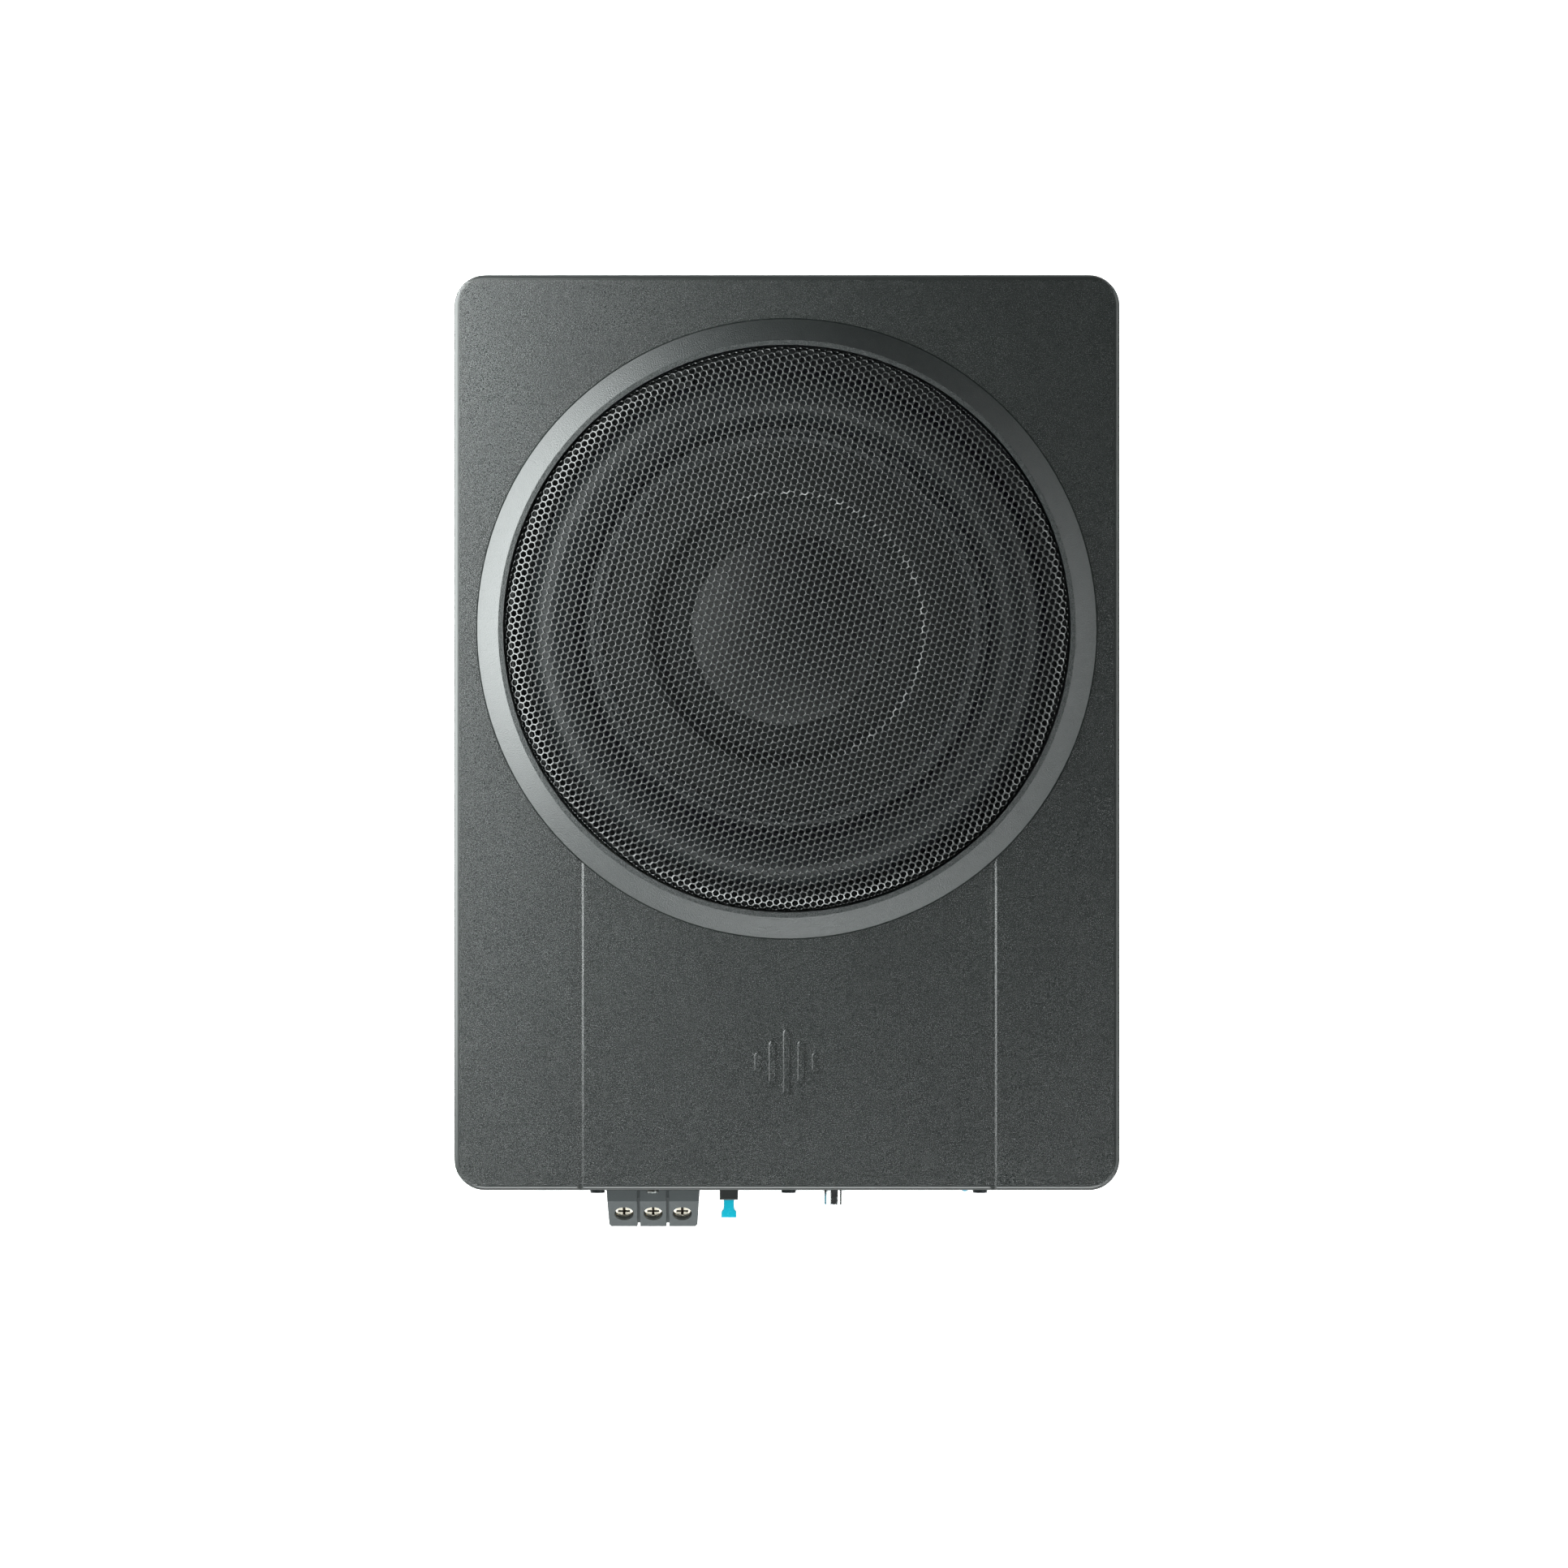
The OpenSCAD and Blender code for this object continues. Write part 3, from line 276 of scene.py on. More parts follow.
def cover_plastic():
    """Grained plastic, even and satin along its rounded edge, with a painted shade line round the foot of the
    ring, where it hardly reflects.

    The walls are duller than the top, again because of the near key light: painted shade. So is the steep
    outer part of each side edge, which moves its highlight inward.
    """
    look = Look("cover_plastic", "#0f1111", rough=0.27)
    inner_x = look.spread(look.maths("ABSOLUTE", look.axis("X")), 1.0, 0.0, COVER_HIGH.x - GRAIN_IN,
                          COVER_HIGH.x - GRAIN_OUT)
    from_mid = look.maths("ABSOLUTE", look.maths("SUBTRACT", look.axis("Y"), COVER_MID_Y))
    half_y = COVER_HIGH.y - COVER_MID_Y
    inner_y = look.spread(from_mid, 1.0, 0.0, half_y - GRAIN_IN, half_y - GRAIN_OUT)
    wall = look.spread(look.axis("Z"), 1.0, 0.0, COVER_TOP - WALL_DROP, COVER_TOP - EDGE_DROP)
    inner = look.maths("MAXIMUM", look.maths("MULTIPLY", inner_x, inner_y), wall)
    # Painted shade in a thin line round the foot of the ring
    ring_foot_shade = look.near(look.radius(0, WOOFER_Y), RING_HIGH.x + SHADE_LINE_OFF, SHADE_LINE_REACH, SHADE_LINE_SOFT)
    up = look.upward()
    # Painted shade where the cover reflects less: that line, and the walls
    painted_shade = look.maths("MAXIMUM", ring_foot_shade, look.spread(up, 1.0, 0.0))
    side_edge = look.spread(inner_x, 1.0, 0.0)
    # Painted shade on the steep outer part of each side edge, which moves its highlight inward
    side_edge_shade = look.maths("MULTIPLY", side_edge, look.spread(look.upward(0.5, 0.8), 0.8, 0.12))
    soft = grain(look, 0.8, inner, 0.5, look.maths("MAXIMUM", painted_shade, side_edge_shade))
    cloud = look.noise(45 * MM, detail=2)
    # Darker in the low spots of the grain, painted shade, and clouded with large patches of random tone
    look.colour(look.mix(look.maths("MULTIPLY", look.maths("ADD", soft, cloud), 0.5), "#0a0b0b", "#151817"))
    even = look.maths("ADD", look.spread(up, 0.25, 0.0), look.spread(inner, 0.12, 0.0))
    look.link(look.maths("ADD", look.spread(soft, 0.22, 0.31), even), look.shader.inputs["Roughness"])
    return look


def ring_plastic():
    """Satin plastic on the slopes, grained on the flat top."""
    look = Look("ring_plastic", "#2b2f2f", rough=0.42)
    on_land = look.spread(look.axis("Z"), 0.0, 1.0, RING_TOP - 0.12 * MM, RING_TOP - 0.02 * MM)
    soft = grain(look, 0.5, on_land)
    satin = look.noise(0.4 * MM, detail=2)
    look.bump(satin, 0.2 * MM)
    cloud = look.noise(30 * MM, detail=3)
    # Darker where the grain's noise is low, which on the flat top is its low spots, painted shade; clouded
    # with random tone
    look.colour(look.mix(look.maths("MULTIPLY", look.maths("ADD", soft, cloud), 0.5), "#0b0d0d", "#151818"))
    look.rough(satin, 0.30, 0.44)
    return look


GRILLE_SHEEN = 0.62


def grille_steel():
    """Black lacquer on sheet steel, duller at a shallow angle as the grained plastic is."""
    look = Look("grille_steel", "#0f1112", rough=0.25, Specular_IOR_Level=GRILLE_SHEEN)
    peel = look.noise(0.35 * MM, detail=2)
    wear = look.noise(14 * MM, detail=3)
    look.colour(look.mix(wear, "#060707", "#0c0e0e"))
    look.rough(peel, 0.18, 0.26)
    look.bump(peel, 0.01 * MM)
    sheen = look.spread(look.grazing(), GRILLE_SHEEN, 0.1 * GRILLE_SHEEN)
    look.link(sheen, look.shader.inputs["Specular IOR Level"])
    return look


def surround_rubber():
    look = Look("surround_rubber", "#141617", rough=0.5, Specular_IOR_Level=0.25)
    dust = look.noise(9 * MM, detail=4, rough=0.6)
    fine = look.noise(0.6 * MM, detail=2)
    look.colour(look.mix(dust, "#101213", "#1c1f20"))
    look.rough(dust, 0.36, 0.5)
    look.bump(fine, 0.02 * MM)
    return look


def cone_paper(name, light, dark, rough, shine):
    look = Look(name, light, rough=rough, Specular_IOR_Level=shine)
    pulp = look.noise(1.6 * MM, detail=5, rough=0.7)
    fibres = look.noise(MM / 0.9, detail=3, place=look.stretched((0.25, 1.0, 1.0)))
    look.colour(look.mix(pulp, dark, light))
    look.rough(pulp, rough - 0.08, rough + 0.1)
    look.bump(pulp, 0.06 * MM)
    look.bump(fibres, 0.03 * MM)
    return look


def plain_plastic(name, light, dark, rough=0.45, size=0.5 * MM, depth=0.02 * MM, **sockets):
    """Moulded plastic with a fine spark-eroded texture."""
    look = Look(name, light, rough=rough, **sockets)
    fine = look.noise(size, detail=3, rough=0.6)
    cloud = look.noise(12 * MM, detail=2)
    look.colour(look.mix(look.maths("MULTIPLY", look.maths("ADD", fine, cloud), 0.5), dark, light))
    look.rough(fine, rough - 0.06, rough + 0.08)
    look.bump(fine, depth)
    return look


def metal(name, light, dark, rough=0.3, size=0.4 * MM, depth=0.008 * MM, brushed=None):
    """Plated or bare metal with a fine surface, brushed along an axis if one is given."""
    look = Look(name, light, rough=rough, metal=1.0)
    place = None
    if brushed:
        place = look.stretched(tuple(0.06 if a == brushed else 1.0 for a in "XYZ"))
    fine = look.noise(size, detail=3, rough=0.6, place=place)
    stain = look.noise(8 * MM, detail=3)
    look.colour(look.mix(stain, dark, light))
    look.rough(fine, rough - 0.08, rough + 0.1)
    look.bump(fine, depth)
    return look


# Depths below the head's face where the painted recess shade starts and is full, and the radii of the dish
# and of the rim that carries the painted highlight
RECESS_SHADE_START = 0.4 * MM
RECESS_SHADE_FULL = 0.9 * MM
DISH_R = 2.2 * MM
RIM_R = 2.7 * MM


def nickel_screw_painted_light(name, up, out, light, dark):
    """Nickel plate with painted shade inside the driver recess, a painted highlight on the rim of the head
    and painted shade in its dish. The head faces the way (0, out, up).
    """
    look = metal("nickel_screw_painted_light", "#d9d4c8", "#b4ada0", rough=0.2)
    face = max(up * v.co.z + out * v.co.y for v in NODES[name].data.vertices)
    height = look.maths("ADD", look.maths("MULTIPLY", look.axis("Z"), up),
                        look.maths("MULTIPLY", look.axis("Y"), out))
    # Painted shade down in the driver recess, growing with depth below the head's face
    deep = look.spread(height, 1.0, 0.0, face - RECESS_SHADE_FULL, face - RECESS_SHADE_START)
    low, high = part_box(name)
    head = (low + high) / 2
    across = look.maths("SUBTRACT", look.maths("MULTIPLY", look.axis("Z"), abs(out)),
                        look.maths("MULTIPLY", look.axis("Y"), -up))
    middle = abs(out) * head.z + up * head.y
    u = look.maths("SUBTRACT", look.axis("X"), head.x)
    v = look.maths("DIVIDE", look.maths("SUBTRACT", across, middle), math.hypot(up, out))
    off = look.maths("SQRT", look.maths("ADD", look.maths("MULTIPLY", u, u), look.maths("MULTIPLY", v, v)))
    dish = look.spread(off, 1.0, 0.0, DISH_R, RIM_R)
    stain = look.noise(1.2 * MM, detail=3)
    # The rim outside the dish takes the plain light colour, a painted highlight; the dish is darker and
    # mottled, a painted shade
    rim_highlight_dish_shade = look.mix(dish, light, look.mix(stain, dark, light))
    # Dark brown down in the recess: painted shade
    look.colour(look.mix(deep, rim_highlight_dish_shade, "#2e2a25"))
    look.link(look.spread(dish, 0.16, 0.34), look.shader.inputs["Roughness"])
    return look


def cast_metal(name, light, dark, rough=0.5):
    """Powder-coated die casting."""
    look = Look(name, light, rough=rough, Specular_IOR_Level=0.12)
    coat = look.noise(0.9 * MM, detail=4, rough=0.65)
    cloud = look.noise(25 * MM, detail=2)
    look.colour(look.mix(cloud, dark, light))
    look.rough(coat, rough - 0.08, rough + 0.1)
    look.bump(coat, 0.06 * MM)
    return look


def foam(name, light, dark):
    look = Look(name, light, rough=0.9, Specular_IOR_Level=0.3)
    pores = look.cells(0.7 * MM)
    look.colour(look.mix(pores, dark, light))
    look.bump(pores, 0.15 * MM)
    return look


def rubber(name, light, dark):
    look = Look(name, light, rough=0.7, Specular_IOR_Level=0.4)
    fine = look.noise(0.7 * MM, detail=3)
    dust = look.noise(6 * MM, detail=4, rough=0.65)
    look.colour(look.mix(dust, dark, light))
    look.rough(dust, 0.6, 0.8)
    look.bump(fine, 0.03 * MM)
    return look


def spider_cloth():
    """Varnished weave."""
    look = Look("spider_cloth", "#b59a5e", rough=0.85, Specular_IOR_Level=0.2)
    weave = look.maths("MULTIPLY", look.waves(0.9 * MM, "X"), look.waves(0.9 * MM, "Y"))
    look.colour(look.mix(weave, "#8f7440", "#c8ad70"))
    look.bump(weave, 0.12 * MM)
    return look


def board_laminate():
    """Green circuit board with raised copper areas."""
    look = Look("board_laminate", "#1d5a3a", rough=0.35, Specular_IOR_Level=0.5)
    copper = look.spread(look.cells(6 * MM, "DISTANCE_TO_EDGE"), 1.0, 0.0, 0.04, 0.07)
    look.colour(look.mix(copper, "#14492d", "#2a7550"))
    look.bump(copper, 0.03 * MM)
    return look


# ---------- camera, lights and stage ----------

CAMERA_UP = 3.0
CAMERA_X = -0.00107
CAMERA_Y = COVER_MID_Y - 0.0193
VIEW_W = 0.589
SENSOR = 36.0


def add_camera():
    """Straight above the cover's top, as in the photograph."""
    data = bpy.data.cameras.new("camera")
    data.sensor_width = SENSOR
    data.lens = SENSOR * CAMERA_UP / VIEW_W
    data.clip_start, data.clip_end = 0.01, 20
    cam = bpy.data.objects.new("camera", data)
    cam.location = (CAMERA_X, CAMERA_Y, COVER_TOP + CAMERA_UP)
    bpy.context.scene.collection.objects.link(cam)
    bpy.context.scene.camera = cam


TOP_MIDDLE = (0, 0.03, COVER_TOP)
PHONO_BARREL = (0.018, -0.17, 0.04)
# Soft boxes: name, place, aim, (width, height), radiance
LIGHTS = (
    ("key", (-0.27, 0.10, 0.173), TOP_MIDDLE, (0.4525, 0.397), 16.3),
    ("front", (-0.03, -0.95, 1.0), TOP_MIDDLE, (1.03, 0.26), 37.0),
    ("right", (0.95, -0.17, 0.76), TOP_MIDDLE, (2.0, 0.26), 11.6),
    ("plugs", (-0.5, -0.26, 0.33), PHONO_BARREL, (0.25, 0.62), 1.6),
)
LIGHT_COLOUR = (0.95, 1.0, 0.99)


def add_light(name, place, aim, size, radiance):
    """A soft box at place that faces aim, size = (width, height) in metres."""
    data = bpy.data.lights.new(name, "AREA")
    data.shape = "RECTANGLE"
    data.size, data.size_y = size
    data.energy = radiance * math.pi * size[0] * size[1]
    data.color = LIGHT_COLOUR
    light = bpy.data.objects.new(name, data)
    light.location = place
    light.visible_camera = False
    turn = Vector(aim) - Vector(place)
    light.rotation_euler = turn.to_track_quat("-Z", "Y").to_euler()
    bpy.context.scene.collection.objects.link(light)


def add_world():
    """Pale surroundings that are darker overhead."""
    world = bpy.data.worlds.new("studio")
    bpy.context.scene.world = world
    world.use_nodes = True
    nt = world.node_tree
    back = nt.nodes["Background"]
    place = nt.nodes.new("ShaderNodeTexCoord")
    split = nt.nodes.new("ShaderNodeSeparateXYZ")
    ramp = nt.nodes.new("ShaderNodeValToRGB")
    for stop, (height, grey) in zip(ramp.color_ramp.elements, ((0.1, 0.4), (0.4, 0.03))):
        stop.position = height
        stop.color = (grey, grey, grey, 1)
    nt.links.new(place.outputs["Generated"], split.inputs[0])
    nt.links.new(split.outputs["Z"], ramp.inputs[0])
    nt.links.new(ramp.outputs[0], back.inputs["Color"])
    back.inputs["Strength"].default_value = 1.0


def add_floor():
    """A pale sheet that glows a little, as a light table does, so that shadows stay soft and faint."""
    half = 20.0
    corners = [(-half, -half, 0), (half, -half, 0), (half, half, 0), (-half, half, 0)]
    mesh = bpy.data.meshes.new("floor")
    mesh.from_pydata(corners, [], [(0, 1, 2, 3)])
    floor = bpy.data.objects.new("floor", mesh)
    bpy.context.scene.collection.objects.link(floor)
    look = Look("floor", (0.9, 0.9, 0.9), rough=0.9, Specular_IOR_Level=0.0)
    look.set("Emission Color", (1, 1, 1, 1))
    look.set("Emission Strength", 0.75)
    mesh.materials.append(look.mat)


# ---------- mesh helpers ----------

def add_mesh(name, verts, faces, look, smooth=True):
    mesh = bpy.data.meshes.new(name)
    mesh.from_pydata([tuple(v) for v in verts], [], faces)
    mesh.validate()
    mesh.materials.append(look.mat)
    if smooth:
        mesh.polygons.foreach_set("use_smooth", [True] * len(mesh.polygons))
    obj = bpy.data.objects.new(name, mesh)
    bpy.context.scene.collection.objects.link(obj)
    return obj


def turned(name, profile, look, steps):
    """A closed profile of (radius, height) points turned about the woofer's axis."""
    n = len(profile)
    verts, faces = [], []
    for k in range(steps):
        a = 2 * math.pi * k / steps
        for r, z in profile:
            verts.append((r * math.cos(a), WOOFER_Y + r * math.sin(a), z))
    for k in range(steps):
        for i in range(n):
            j = (i + 1) % n
            p, q = k * n, ((k + 1) % steps) * n
            faces.append((p + i, q + i, q + j, p + j))
    return add_mesh(name, verts, faces, look)


def blend_by_radius(obj):
    """Lays a round piece's points out flat by their distance from the woofer's axis, bakes its transform, and
    puts the points back as they were.
    """
    mesh = obj.data
    n = len(mesh.vertices)
    at_rest = np.zeros(3 * n)
    mesh.vertices.foreach_get("co", at_rest)
    at_rest = at_rest.reshape(-1, 3)
    flat = np.zeros((n, 3))
    flat[:, 0] = np.hypot(at_rest[:, 0], at_rest[:, 1] - WOOFER_Y)
    mesh.vertices.foreach_set("co", flat.ravel())
    mesh.update()
    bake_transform(obj)
    mesh.vertices.foreach_set("co", at_rest.ravel())
    mesh.update()


EDGE_WIDTHS = (
    ("terminal_block", 0.45 * MM), ("fuse_holder", 0.3 * MM), ("phono_barrels", 0.18 * MM),
    ("panel_screws", 0.35 * MM), ("block_screw", 0.3 * MM), ("terminal_screw_1", 0.2 * MM),
    ("terminal_screw_2", 0.2 * MM), ("terminal_screw_3", 0.2 * MM), ("base_tray", 0.35 * MM),
)
WELD_GAP = 0.005 * MM
SHARP_ANGLE = 35


def soften(name, width):
    """Rounds the sharp edges of a CAD node without touching its mesh."""
    obj = NODES[name]
    weld = obj.modifiers.new("weld", "WELD")
    weld.merge_threshold = WELD_GAP
    bevel = obj.modifiers.new("bevel", "BEVEL")
    bevel.width = width
    bevel.segments = 2
    bevel.limit_method = "ANGLE"
    bevel.angle_limit = math.radians(SHARP_ANGLE)
    normals = obj.modifiers.new("normals", "WEIGHTED_NORMAL")
    normals.keep_sharp = True


# ---------- grille ----------

HEX_PITCH = 2.645 * MM
HEX_TURN = 15.0
HOLE_ACROSS = 2.06 * MM
EDGE_W = 0.22 * MM
EDGE_H = 0.09 * MM
GRILLE_T = 0.9 * MM
STEP_R = 51.8 * MM
STEP_W = 1.3 * MM
STEP_H = 0.8 * MM
GRILLE_RISE = 2.1 * MM
GRILLE_RIM = 9.0 * MM
# The CAD rim drops 3.2 mm. Less lets the outer holes show as they do in the photograph
GRILLE_DROP = 2.3 * MM
SKIRT_LOW = COVER_TOP + 0.15 * MM


def grille_profile():
    """The grille's outer surface from its middle to its skirt's foot: points and the way along them."""
    rim_start = GRILLE_R - GRILLE_RIM
    radii = np.concatenate([np.linspace(0, STEP_R - STEP_W, 20), np.linspace(STEP_R, rim_start, 20),
                            np.linspace(rim_start, GRILLE_R - 0.7 * MM, 40)[1:]])
    over = np.clip(radii - GRILLE_R + GRILLE_RIM, 0, None) / GRILLE_RIM
    dome = np.clip(radii ** 2 - STEP_R ** 2, 0, None) / (GRILLE_R ** 2 - STEP_R ** 2)
    dip = STEP_H * np.clip((STEP_R - radii) / STEP_W, 0, 1)
    z = GRILLE_TOP - dip - GRILLE_RISE * dome - GRILLE_DROP * over ** 2.4
    turn = [(GRILLE_R - 0.35 * MM, z[-1] - 0.42 * MM), (GRILLE_R - 0.08 * MM, z[-1] - 0.95 * MM),
            (GRILLE_R - 0.02 * MM, z[-1] - 1.4 * MM), (GRILLE_R - 0.02 * MM, SKIRT_LOW)]
    pts = np.vstack([np.column_stack([radii, z]), turn])
    along = np.concatenate([[0], np.cumsum(np.hypot(*np.diff(pts, axis=0).T))])
    return pts, along


def grille_mesh(look):
    """A sheet of hexagonal holes that follows the grille's dome, its step and its rolled rim."""
    pts, along = grille_profile()
    reach = along[-1]
    slope = np.gradient(pts, along, axis=0)
    a1, a2 = (HEX_PITCH * np.array([math.cos(math.radians(a)), math.sin(math.radians(a))])
              for a in (HEX_TURN, HEX_TURN + 60))
    n = int(reach / HEX_PITCH * 1.3) + 2
    i, j = [g.ravel() for g in np.meshgrid(np.arange(-n, n + 1), np.arange(-n, n + 1))]
    centres = i[:, None] * a1 + j[:, None] * a2
    centres = centres[np.hypot(*centres.T) < reach + 0.45 * HEX_PITCH]
    corner = np.radians(HEX_TURN + 30 + 60 * np.arange(6))
    unit = np.column_stack([np.cos(corner), np.sin(corner)])
    cell_r = HEX_PITCH / math.sqrt(3)
    hole_r = HOLE_ACROSS / math.sqrt(3)
    # Each ring of six corners: distance from the hole's middle, and depth below the outer surface
    rings = [(cell_r, 0.0), (hole_r + EDGE_W, 0.0), (hole_r, EDGE_H), (hole_r, GRILLE_T),
             (cell_r, GRILLE_T)]
    flat, deep = [], []
    for r, d in rings:
        flat.append(centres[:, None, :] + r * unit[None])
        deep.append(np.full((len(centres), 6), d))
    flat = np.stack(flat, 1).reshape(-1, 2)
    deep = np.stack(deep, 1).ravel()
    m = len(rings)
    base = np.arange(len(centres)) * m * 6
    faces = []
    for k in range(m - 1):
        for c in range(6):
            d = (c + 1) % 6
            faces.append(np.column_stack([base + k * 6 + c, base + k * 6 + d, base + (k + 1) * 6 + d,
                                          base + (k + 1) * 6 + c]))
    faces = np.vstack(faces)
    # Shared corners are merged in the flat
    key = np.round(np.column_stack([flat, deep]) / (0.01 * MM)).astype(np.int64)
    _, first, index = np.unique(key, axis=0, return_index=True, return_inverse=True)
    flat, deep = flat[first], deep[first]
    faces = index.ravel()[faces]
    # Folded over the dome: the distance from the middle becomes the way along the profile
    dist = np.clip(np.hypot(*flat.T), 0, reach)
    angle = np.arctan2(flat[:, 1], flat[:, 0])
    r = np.interp(dist, along, pts[:, 0])
    z = np.interp(dist, along, pts[:, 1])
    dr = np.interp(dist, along, slope[:, 0])
    dz = np.interp(dist, along, slope[:, 1])
    size = np.hypot(dr, dz)
    r = r + deep * dz / size
    z = z - deep * dr / size
    verts = np.column_stack([r * np.cos(angle), WOOFER_Y + r * np.sin(angle), z])
    # Faces that the rim squeezed to nothing are dropped
    q = verts[faces]
    area = np.linalg.norm(np.cross(q[:, 2] - q[:, 0], q[:, 3] - q[:, 1]), axis=1)
    faces = faces[area > 1e-10]
    used, faces = np.unique(faces, return_inverse=True)
    faces = faces.reshape(-1, 4)
    return add_mesh("grille_sheet", verts[used], [tuple(int(v) for v in f) for f in faces], look)


def build_grille(look):
    sheet = grille_mesh(look)
    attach(sheet, "root")
    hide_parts("grille")


# ---------- woofer ----------

ROLL_MID = 87.5 * MM
ROLL_R = 10.5 * MM
ROLL_T = 1.2 * MM


def surround_profile():
    """Outer lip, half-round roll and inner lip, as a closed outline."""
    lip = SURROUND_LOW.z
    mid = lip + 1.0 * MM
    outer, inner = [], []
    for k in range(25):
        a = math.pi * k / 24
        outer.append((ROLL_MID + ROLL_R * math.cos(a), mid + ROLL_R * math.sin(a)))
        inner.append((ROLL_MID + (ROLL_R - ROLL_T) * math.cos(a), mid + (ROLL_R - ROLL_T) * math.sin(a)))
    top = [(98.4 * MM, lip), (98.4 * MM, lip + 1.3 * MM)] + outer
    top += [(76.4 * MM, lip + 2.5 * MM), (75.9 * MM, lip + 3.1 * MM), (75.3 * MM, lip + 3.2 * MM),
            (74.7 * MM, lip + 2.6 * MM), (73.6 * MM, lip + 2.6 * MM), (73.0 * MM, lip + 3.2 * MM),
            (72.3 * MM, lip + 3.1 * MM), (71.6 * MM, lip + 2.5 * MM), (70.6 * MM, lip + 2.4 * MM),
            (70.5 * MM, lip + 1.7 * MM), (76.5 * MM, lip + 1.7 * MM)]
    return top + inner[::-1] + [(96.9 * MM, lip)]


def build_surround(look):
    roll = turned("surround_roll", surround_profile(), look, steps=240)
    blend_by_radius(roll)
    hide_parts("surround")


SPIDER_OUT = 65.5 * MM
SPIDER_IN = 27.5 * MM
SPIDER_T = 0.5 * MM
SPIDER_ROLL = 1.0 * MM
SPIDER_PITCH = 6.2 * MM


def build_spider(look):
    """The corrugated cloth that centres the coil, from the basket in to the coil's former."""
    low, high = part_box("spider")
    mid = (low.z + high.z) / 2
    r_in, r_out = 25.9 * MM, high.x - 0.3 * MM
    radii = np.linspace(r_out, r_in, 90)
    rise = np.clip((radii - SPIDER_IN) / (2 * MM), 0, 1)
    fall = np.clip((SPIDER_OUT - 3 * MM - radii) / (2 * MM), 0, 1)
    z = mid + SPIDER_ROLL * (rise * fall) * np.sin(2 * math.pi * radii / SPIDER_PITCH)
    top = [(r, h + SPIDER_T / 2) for r, h in zip(radii, z)]
    under = [(r, h - SPIDER_T / 2) for r, h in zip(radii, z)]
    cloth = turned("spider_rolls", top + under[::-1], look, steps=120)
    blend_by_radius(cloth)
    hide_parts("spider")


BRAID_R = 0.6 * MM
BRAID_END = 28.0 * MM


def build_tinsel_leads(look):
    """Two braided leads that hang between the basket's terminals and the underside of the cone."""
    low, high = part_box("tinsel_leads")
    start_y, end_y = low.y + 0.2 * MM, WOOFER_Y - BRAID_END
    start_z, end_z, crown = low.z + 0.9 * MM, low.z + 1.7 * MM, high.z - BRAID_R - 0.05 * MM
    steps, around = 40, 12
    t = np.linspace(0, 1, steps)
    control_z = 2 * crown - (start_z + end_z) / 2
    verts, faces = [], []
    for side in (-1, 1):
        path = [(1 - t) ** 2 * a + 2 * t * (1 - t) * b + t ** 2 * c for a, b, c in (
            (side * 5.5 * MM, side * 9.0 * MM, side * 4.0 * MM), (start_y, (start_y + end_y) / 2, end_y),
            (start_z, control_z, end_z))]
        base = len(verts)
        for k in range(steps):
            for i in range(around):
                a = 2 * math.pi * i / around
                verts.append((path[0][k] + BRAID_R * math.cos(a), path[1][k],
                              path[2][k] + BRAID_R * math.sin(a)))
        for k in range(steps - 1):
            for i in range(around):
                j = (i + 1) % around
                p, q = base + k * around, base + (k + 1) * around
                faces.append((p + i, p + j, q + j, q + i))
        faces.append(tuple(base + i for i in range(around))[::-1])
        faces.append(tuple(base + (steps - 1) * around + i for i in range(around)))
    braids = add_mesh("tinsel_braids", verts, faces, look)
    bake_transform(braids)
    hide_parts("tinsel_leads")


def build_glue_bead(look):
    """The uneven bead of glue between the surround's inner lip and the cone."""
    steps, around = 360, 10
    rng = np.random.default_rng(7)
    wobble = np.zeros(steps)
    t = np.linspace(0, 2 * math.pi, steps, endpoint=False)
    for waves in range(5, 60, 4):
        wobble += rng.normal() / waves ** 0.5 * np.cos(waves * t + rng.uniform(0, 6.28))
    wobble /= np.abs(wobble).max()
    z0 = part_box("cone")[1].z
    verts, faces = [], []
    for k in range(steps):
        r_mid = 70.3 * MM + 0.35 * MM * wobble[k]
        size = 1.0 + 0.25 * wobble[(k * 7) % steps]
        for i in range(around):
            a = 2 * math.pi * i / around
            r = r_mid + 1.3 * MM * size * math.cos(a)
            z = z0 + 0.1 * MM + 1.0 * MM * size * math.sin(a)
            verts.append((r * math.cos(t[k]), WOOFER_Y + r * math.sin(t[k]), z))
    for k in range(steps):
        for i in range(around):
            p, q = k * around, ((k + 1) % steps) * around
            j = (i + 1) % around
            faces.append((p + i, p + j, q + j, q + i))
    bead = add_mesh("glue_bead", verts, faces, look)
    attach(bead, "cone_assembly")


# ---------- fuse ----------

FUSE_LOW, FUSE_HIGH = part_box("fuse_body")
FUSE_WAIST = 1.95 * MM
FUSE_HEAD = 2.85 * MM
FUSE_HEAD_LONG = 2.4 * MM


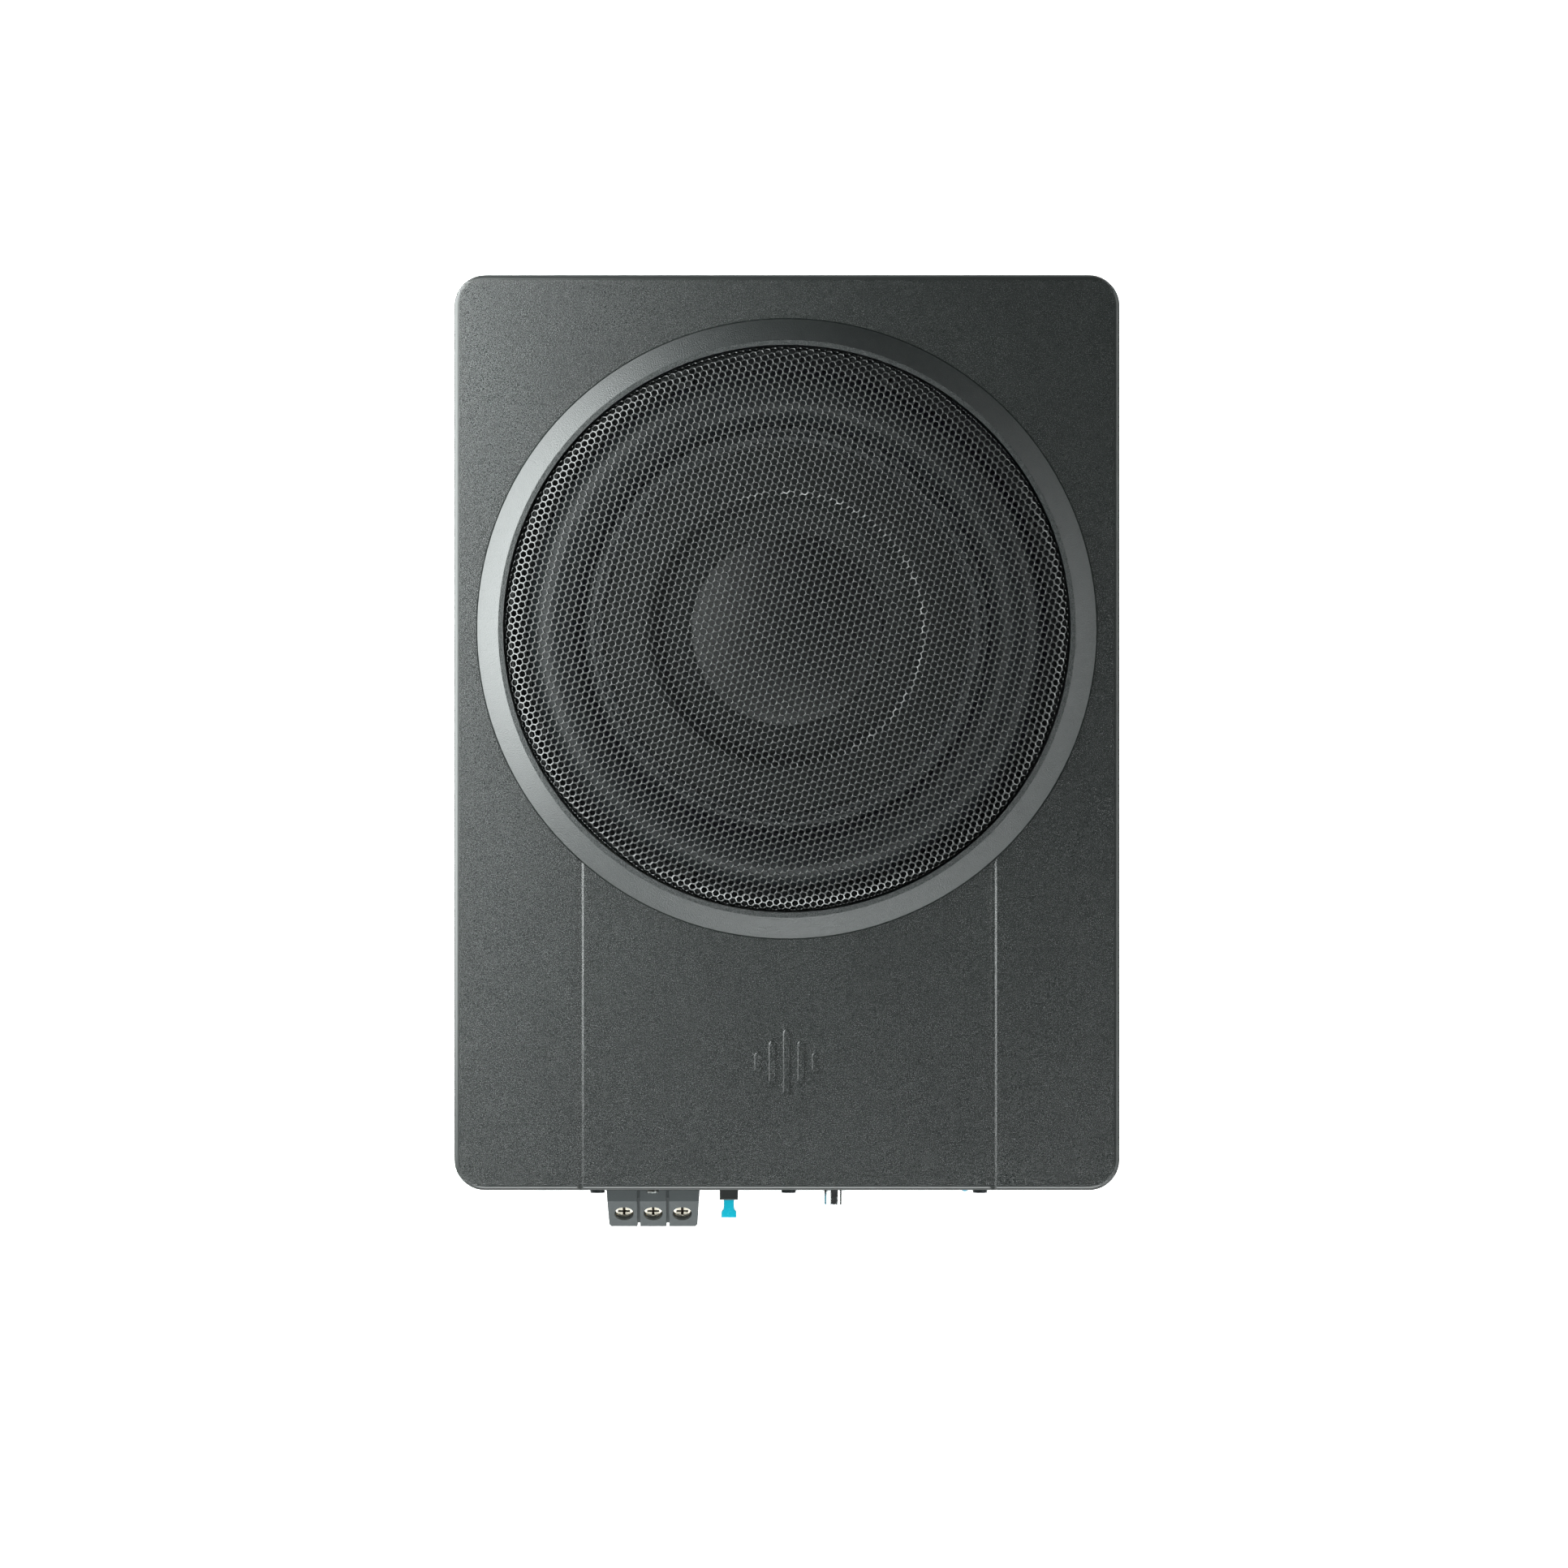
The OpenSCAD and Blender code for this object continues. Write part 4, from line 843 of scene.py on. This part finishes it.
def build_fuse(look):
    """The blade fuse's moulded body: a flat block with a waist and a wider head to pull it by."""
    mid_x = (FUSE_LOW.x + FUSE_HIGH.x) / 2
    tip, back = FUSE_LOW.y, FUSE_HIGH.y
    neck = tip + FUSE_HEAD_LONG
    plan = [(-FUSE_WAIST, back), (-FUSE_WAIST, neck + 1.0 * MM), (-FUSE_HEAD, neck), (-FUSE_HEAD, tip),
            (FUSE_HEAD, tip), (FUSE_HEAD, neck), (FUSE_WAIST, neck + 1.0 * MM), (FUSE_WAIST, back)]
    low, high = FUSE_LOW.z, FUSE_HIGH.z
    n = len(plan)
    verts = [(mid_x + x, y, z) for z in (low, high) for x, y in plan]
    faces = [(i, (i + 1) % n, n + (i + 1) % n, n + i) for i in range(n)]
    faces += [tuple(range(n))[::-1], tuple(range(n, 2 * n))]
    body = add_mesh("fuse_moulding", verts, faces, look, smooth=False)
    bevel = body.modifiers.new("bevel", "BEVEL")
    bevel.width = 0.35 * MM
    bevel.segments = 3
    bevel.limit_method = "ANGLE"
    bevel.angle_limit = math.radians(30)
    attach(body, "fuse")
    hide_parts("fuse_body")


# ---------- dressing ----------

def dress_case():
    dress(cover_plastic(), "top_cover")
    dress(ring_plastic(), "grille_ring")
    dress(cast_metal("cast_base", "#1a1c1d", "#131515"), "base_tray")
    dress(rubber("feet_rubber", "#1c1d1e", "#131415"), "rubber_feet")
    dress(foam("gasket_foam", "#1d1f20", "#0c0d0e"), "cover_gasket", "woofer_gasket")
    dress(metal("brass_parts", "#c9a257", "#a57f3c", rough=0.32, brushed="Z"), "threaded_inserts",
          "board_spacers", "terminal_clamps", "fuse_clips", "high_level_pins")
    dress(metal("black_steel", "#2b2d2f", "#1b1c1e", rough=0.38), "base_screws", "panel_screws")


def dress_woofer():
    dress(plain_plastic("basket_steel", "#1b1d1e", "#121314", rough=0.4), "woofer_basket")
    dress(metal("zinc_steel", "#b8bcbc", "#989b98", rough=0.34), "top_plate", "pole_yoke", "board_screws",
          "transistor_clamp", "fuse_blades")
    dress(plain_plastic("blacked_steel", "#141617", "#0d0e0f", rough=0.5), "woofer_screws")
    dress(cone_paper("cone_paper", "#151817", "#080909", 0.62, 0.22), "cone")
    dress(cone_paper("cap_paper", "#0e1010", "#060707", 0.46, 0.32), "dust_cap")
    dress(plain_plastic("former_film", "#c08a3a", "#a9722a", rough=0.25), "coil_former")
    wire = metal("copper_wire", "#b5642f", "#8a4420", rough=0.3)
    wire.bump(wire.waves(0.35 * MM, "Z"), 0.08 * MM)
    dress(wire, "voice_coil")
    dress(metal("copper_winding", "#b5642f", "#8a4420", rough=0.3), "power_inductor")
    cloth = spider_cloth()
    dress(cloth, "spider")
    build_spider(cloth)
    dress(plain_plastic("ferrite", "#3c3e40", "#2c2e30", rough=0.6, size=0.8 * MM, depth=0.05 * MM), "magnet")
    dress(plain_plastic("fibre_board", "#8a6234", "#6d4a24", rough=0.6), "woofer_terminals")
    braid = metal("tinned_braid", "#c6c0b2", "#9c968a", rough=0.35)
    braid.bump(braid.waves(0.5 * MM, "DIAGONAL"), 0.12 * MM)
    dress(braid, "tinsel_leads")
    build_tinsel_leads(braid)
    dress(plain_plastic("red_wire", "#8e1f1a", "#741511", rough=0.35), "speaker_leads")


def dress_connectors(fuse_blue):
    dress(plain_plastic("panel_steel", "#131516", "#0d0e0f", rough=0.5, size=0.4 * MM,
                        Specular_IOR_Level=0.3), "connector_panel")
    dress(plain_plastic("block_plastic", "#2f3334", "#282b2c", rough=0.5, size=0.35 * MM, depth=0.02 * MM,
                        Specular_IOR_Level=0.35), "terminal_block")
    # Each screw's first colour is its painted rim highlight, its second the darker mottle of its painted dish
    # shade
    for name in ("terminal_screw_1", "terminal_screw_2", "terminal_screw_3"):
        dress(nickel_screw_painted_light(name, 1, -1, "#ded8c9", "#6f6a5f"), name)
    dress(nickel_screw_painted_light("block_screw", 0, -1, "#7d7f7e", "#5f6160"), "block_screw")
    dress(metal("nickel", "#e4e6e7", "#cfd2d4", rough=0.14, size=1.2 * MM, depth=0.001 * MM),
          "phono_barrels")
    black = plain_plastic("black_plastic", "#0d0e0f", "#070808", rough=0.45, Specular_IOR_Level=0.3)
    dress(black, "fuse_holder", "level_knob", "lowpass_knob", "phono_housing", "remote_port", "phase_slider",
          "auto_slider", "power_transistors")
    dress(fuse_blue, "fuse_body")
    dress(plain_plastic("pot_body", "#23445f", "#1b364c", rough=0.4), "level_pot", "lowpass_pot")
    dress(plain_plastic("white_plastic", "#dcd8cc", "#cfcabb", rough=0.4), "high_level_socket",
          "phono_insulators")
    dress(metal("switch_can", "#c0c3c4", "#a2a5a6", rough=0.3, brushed="X"), "phase_switch", "auto_switch")
    lens = Look("led_lens", "#7fd4ff", rough=0.08, Transmission_Weight=0.6, IOR=1.5)
    lens.colour(lens.mix(lens.noise(1.5 * MM), "#6ac6f5", "#9be0ff"))
    dress(lens, "power_led")


def dress_amplifier():
    dress(board_laminate(), "amp_board")
    dress(plain_plastic("can_sleeve", "#1d2230", "#141824", rough=0.3), "filter_capacitors")
    dress(plain_plastic("core_ferrite", "#3a3d40", "#2a2c2e", rough=0.55), "transformer")
    dress(metal("spreader", "#aeb2b4", "#96999b", rough=0.36, brushed="X"), "heat_spreader")


fuse_plastic = plain_plastic("fuse_blue", "#0c8294", "#0a788a", rough=0.25, size=3 * MM, depth=0.01 * MM,
                             Specular_IOR_Level=0.3)
add_camera()
add_world()
for light in LIGHTS:
    add_light(*light)
add_floor()
dress_case()
dress_woofer()
dress_connectors(fuse_plastic)
dress_amplifier()
build_grille(grille_steel())
build_surround(surround_rubber())
build_glue_bead(surround_rubber())
build_fuse(fuse_plastic)
for node_name, edge_width in EDGE_WIDTHS:
    soften(node_name, edge_width)

bpy.context.scene.view_settings.view_transform = "Standard"
bpy.context.scene.view_settings.look = "None"
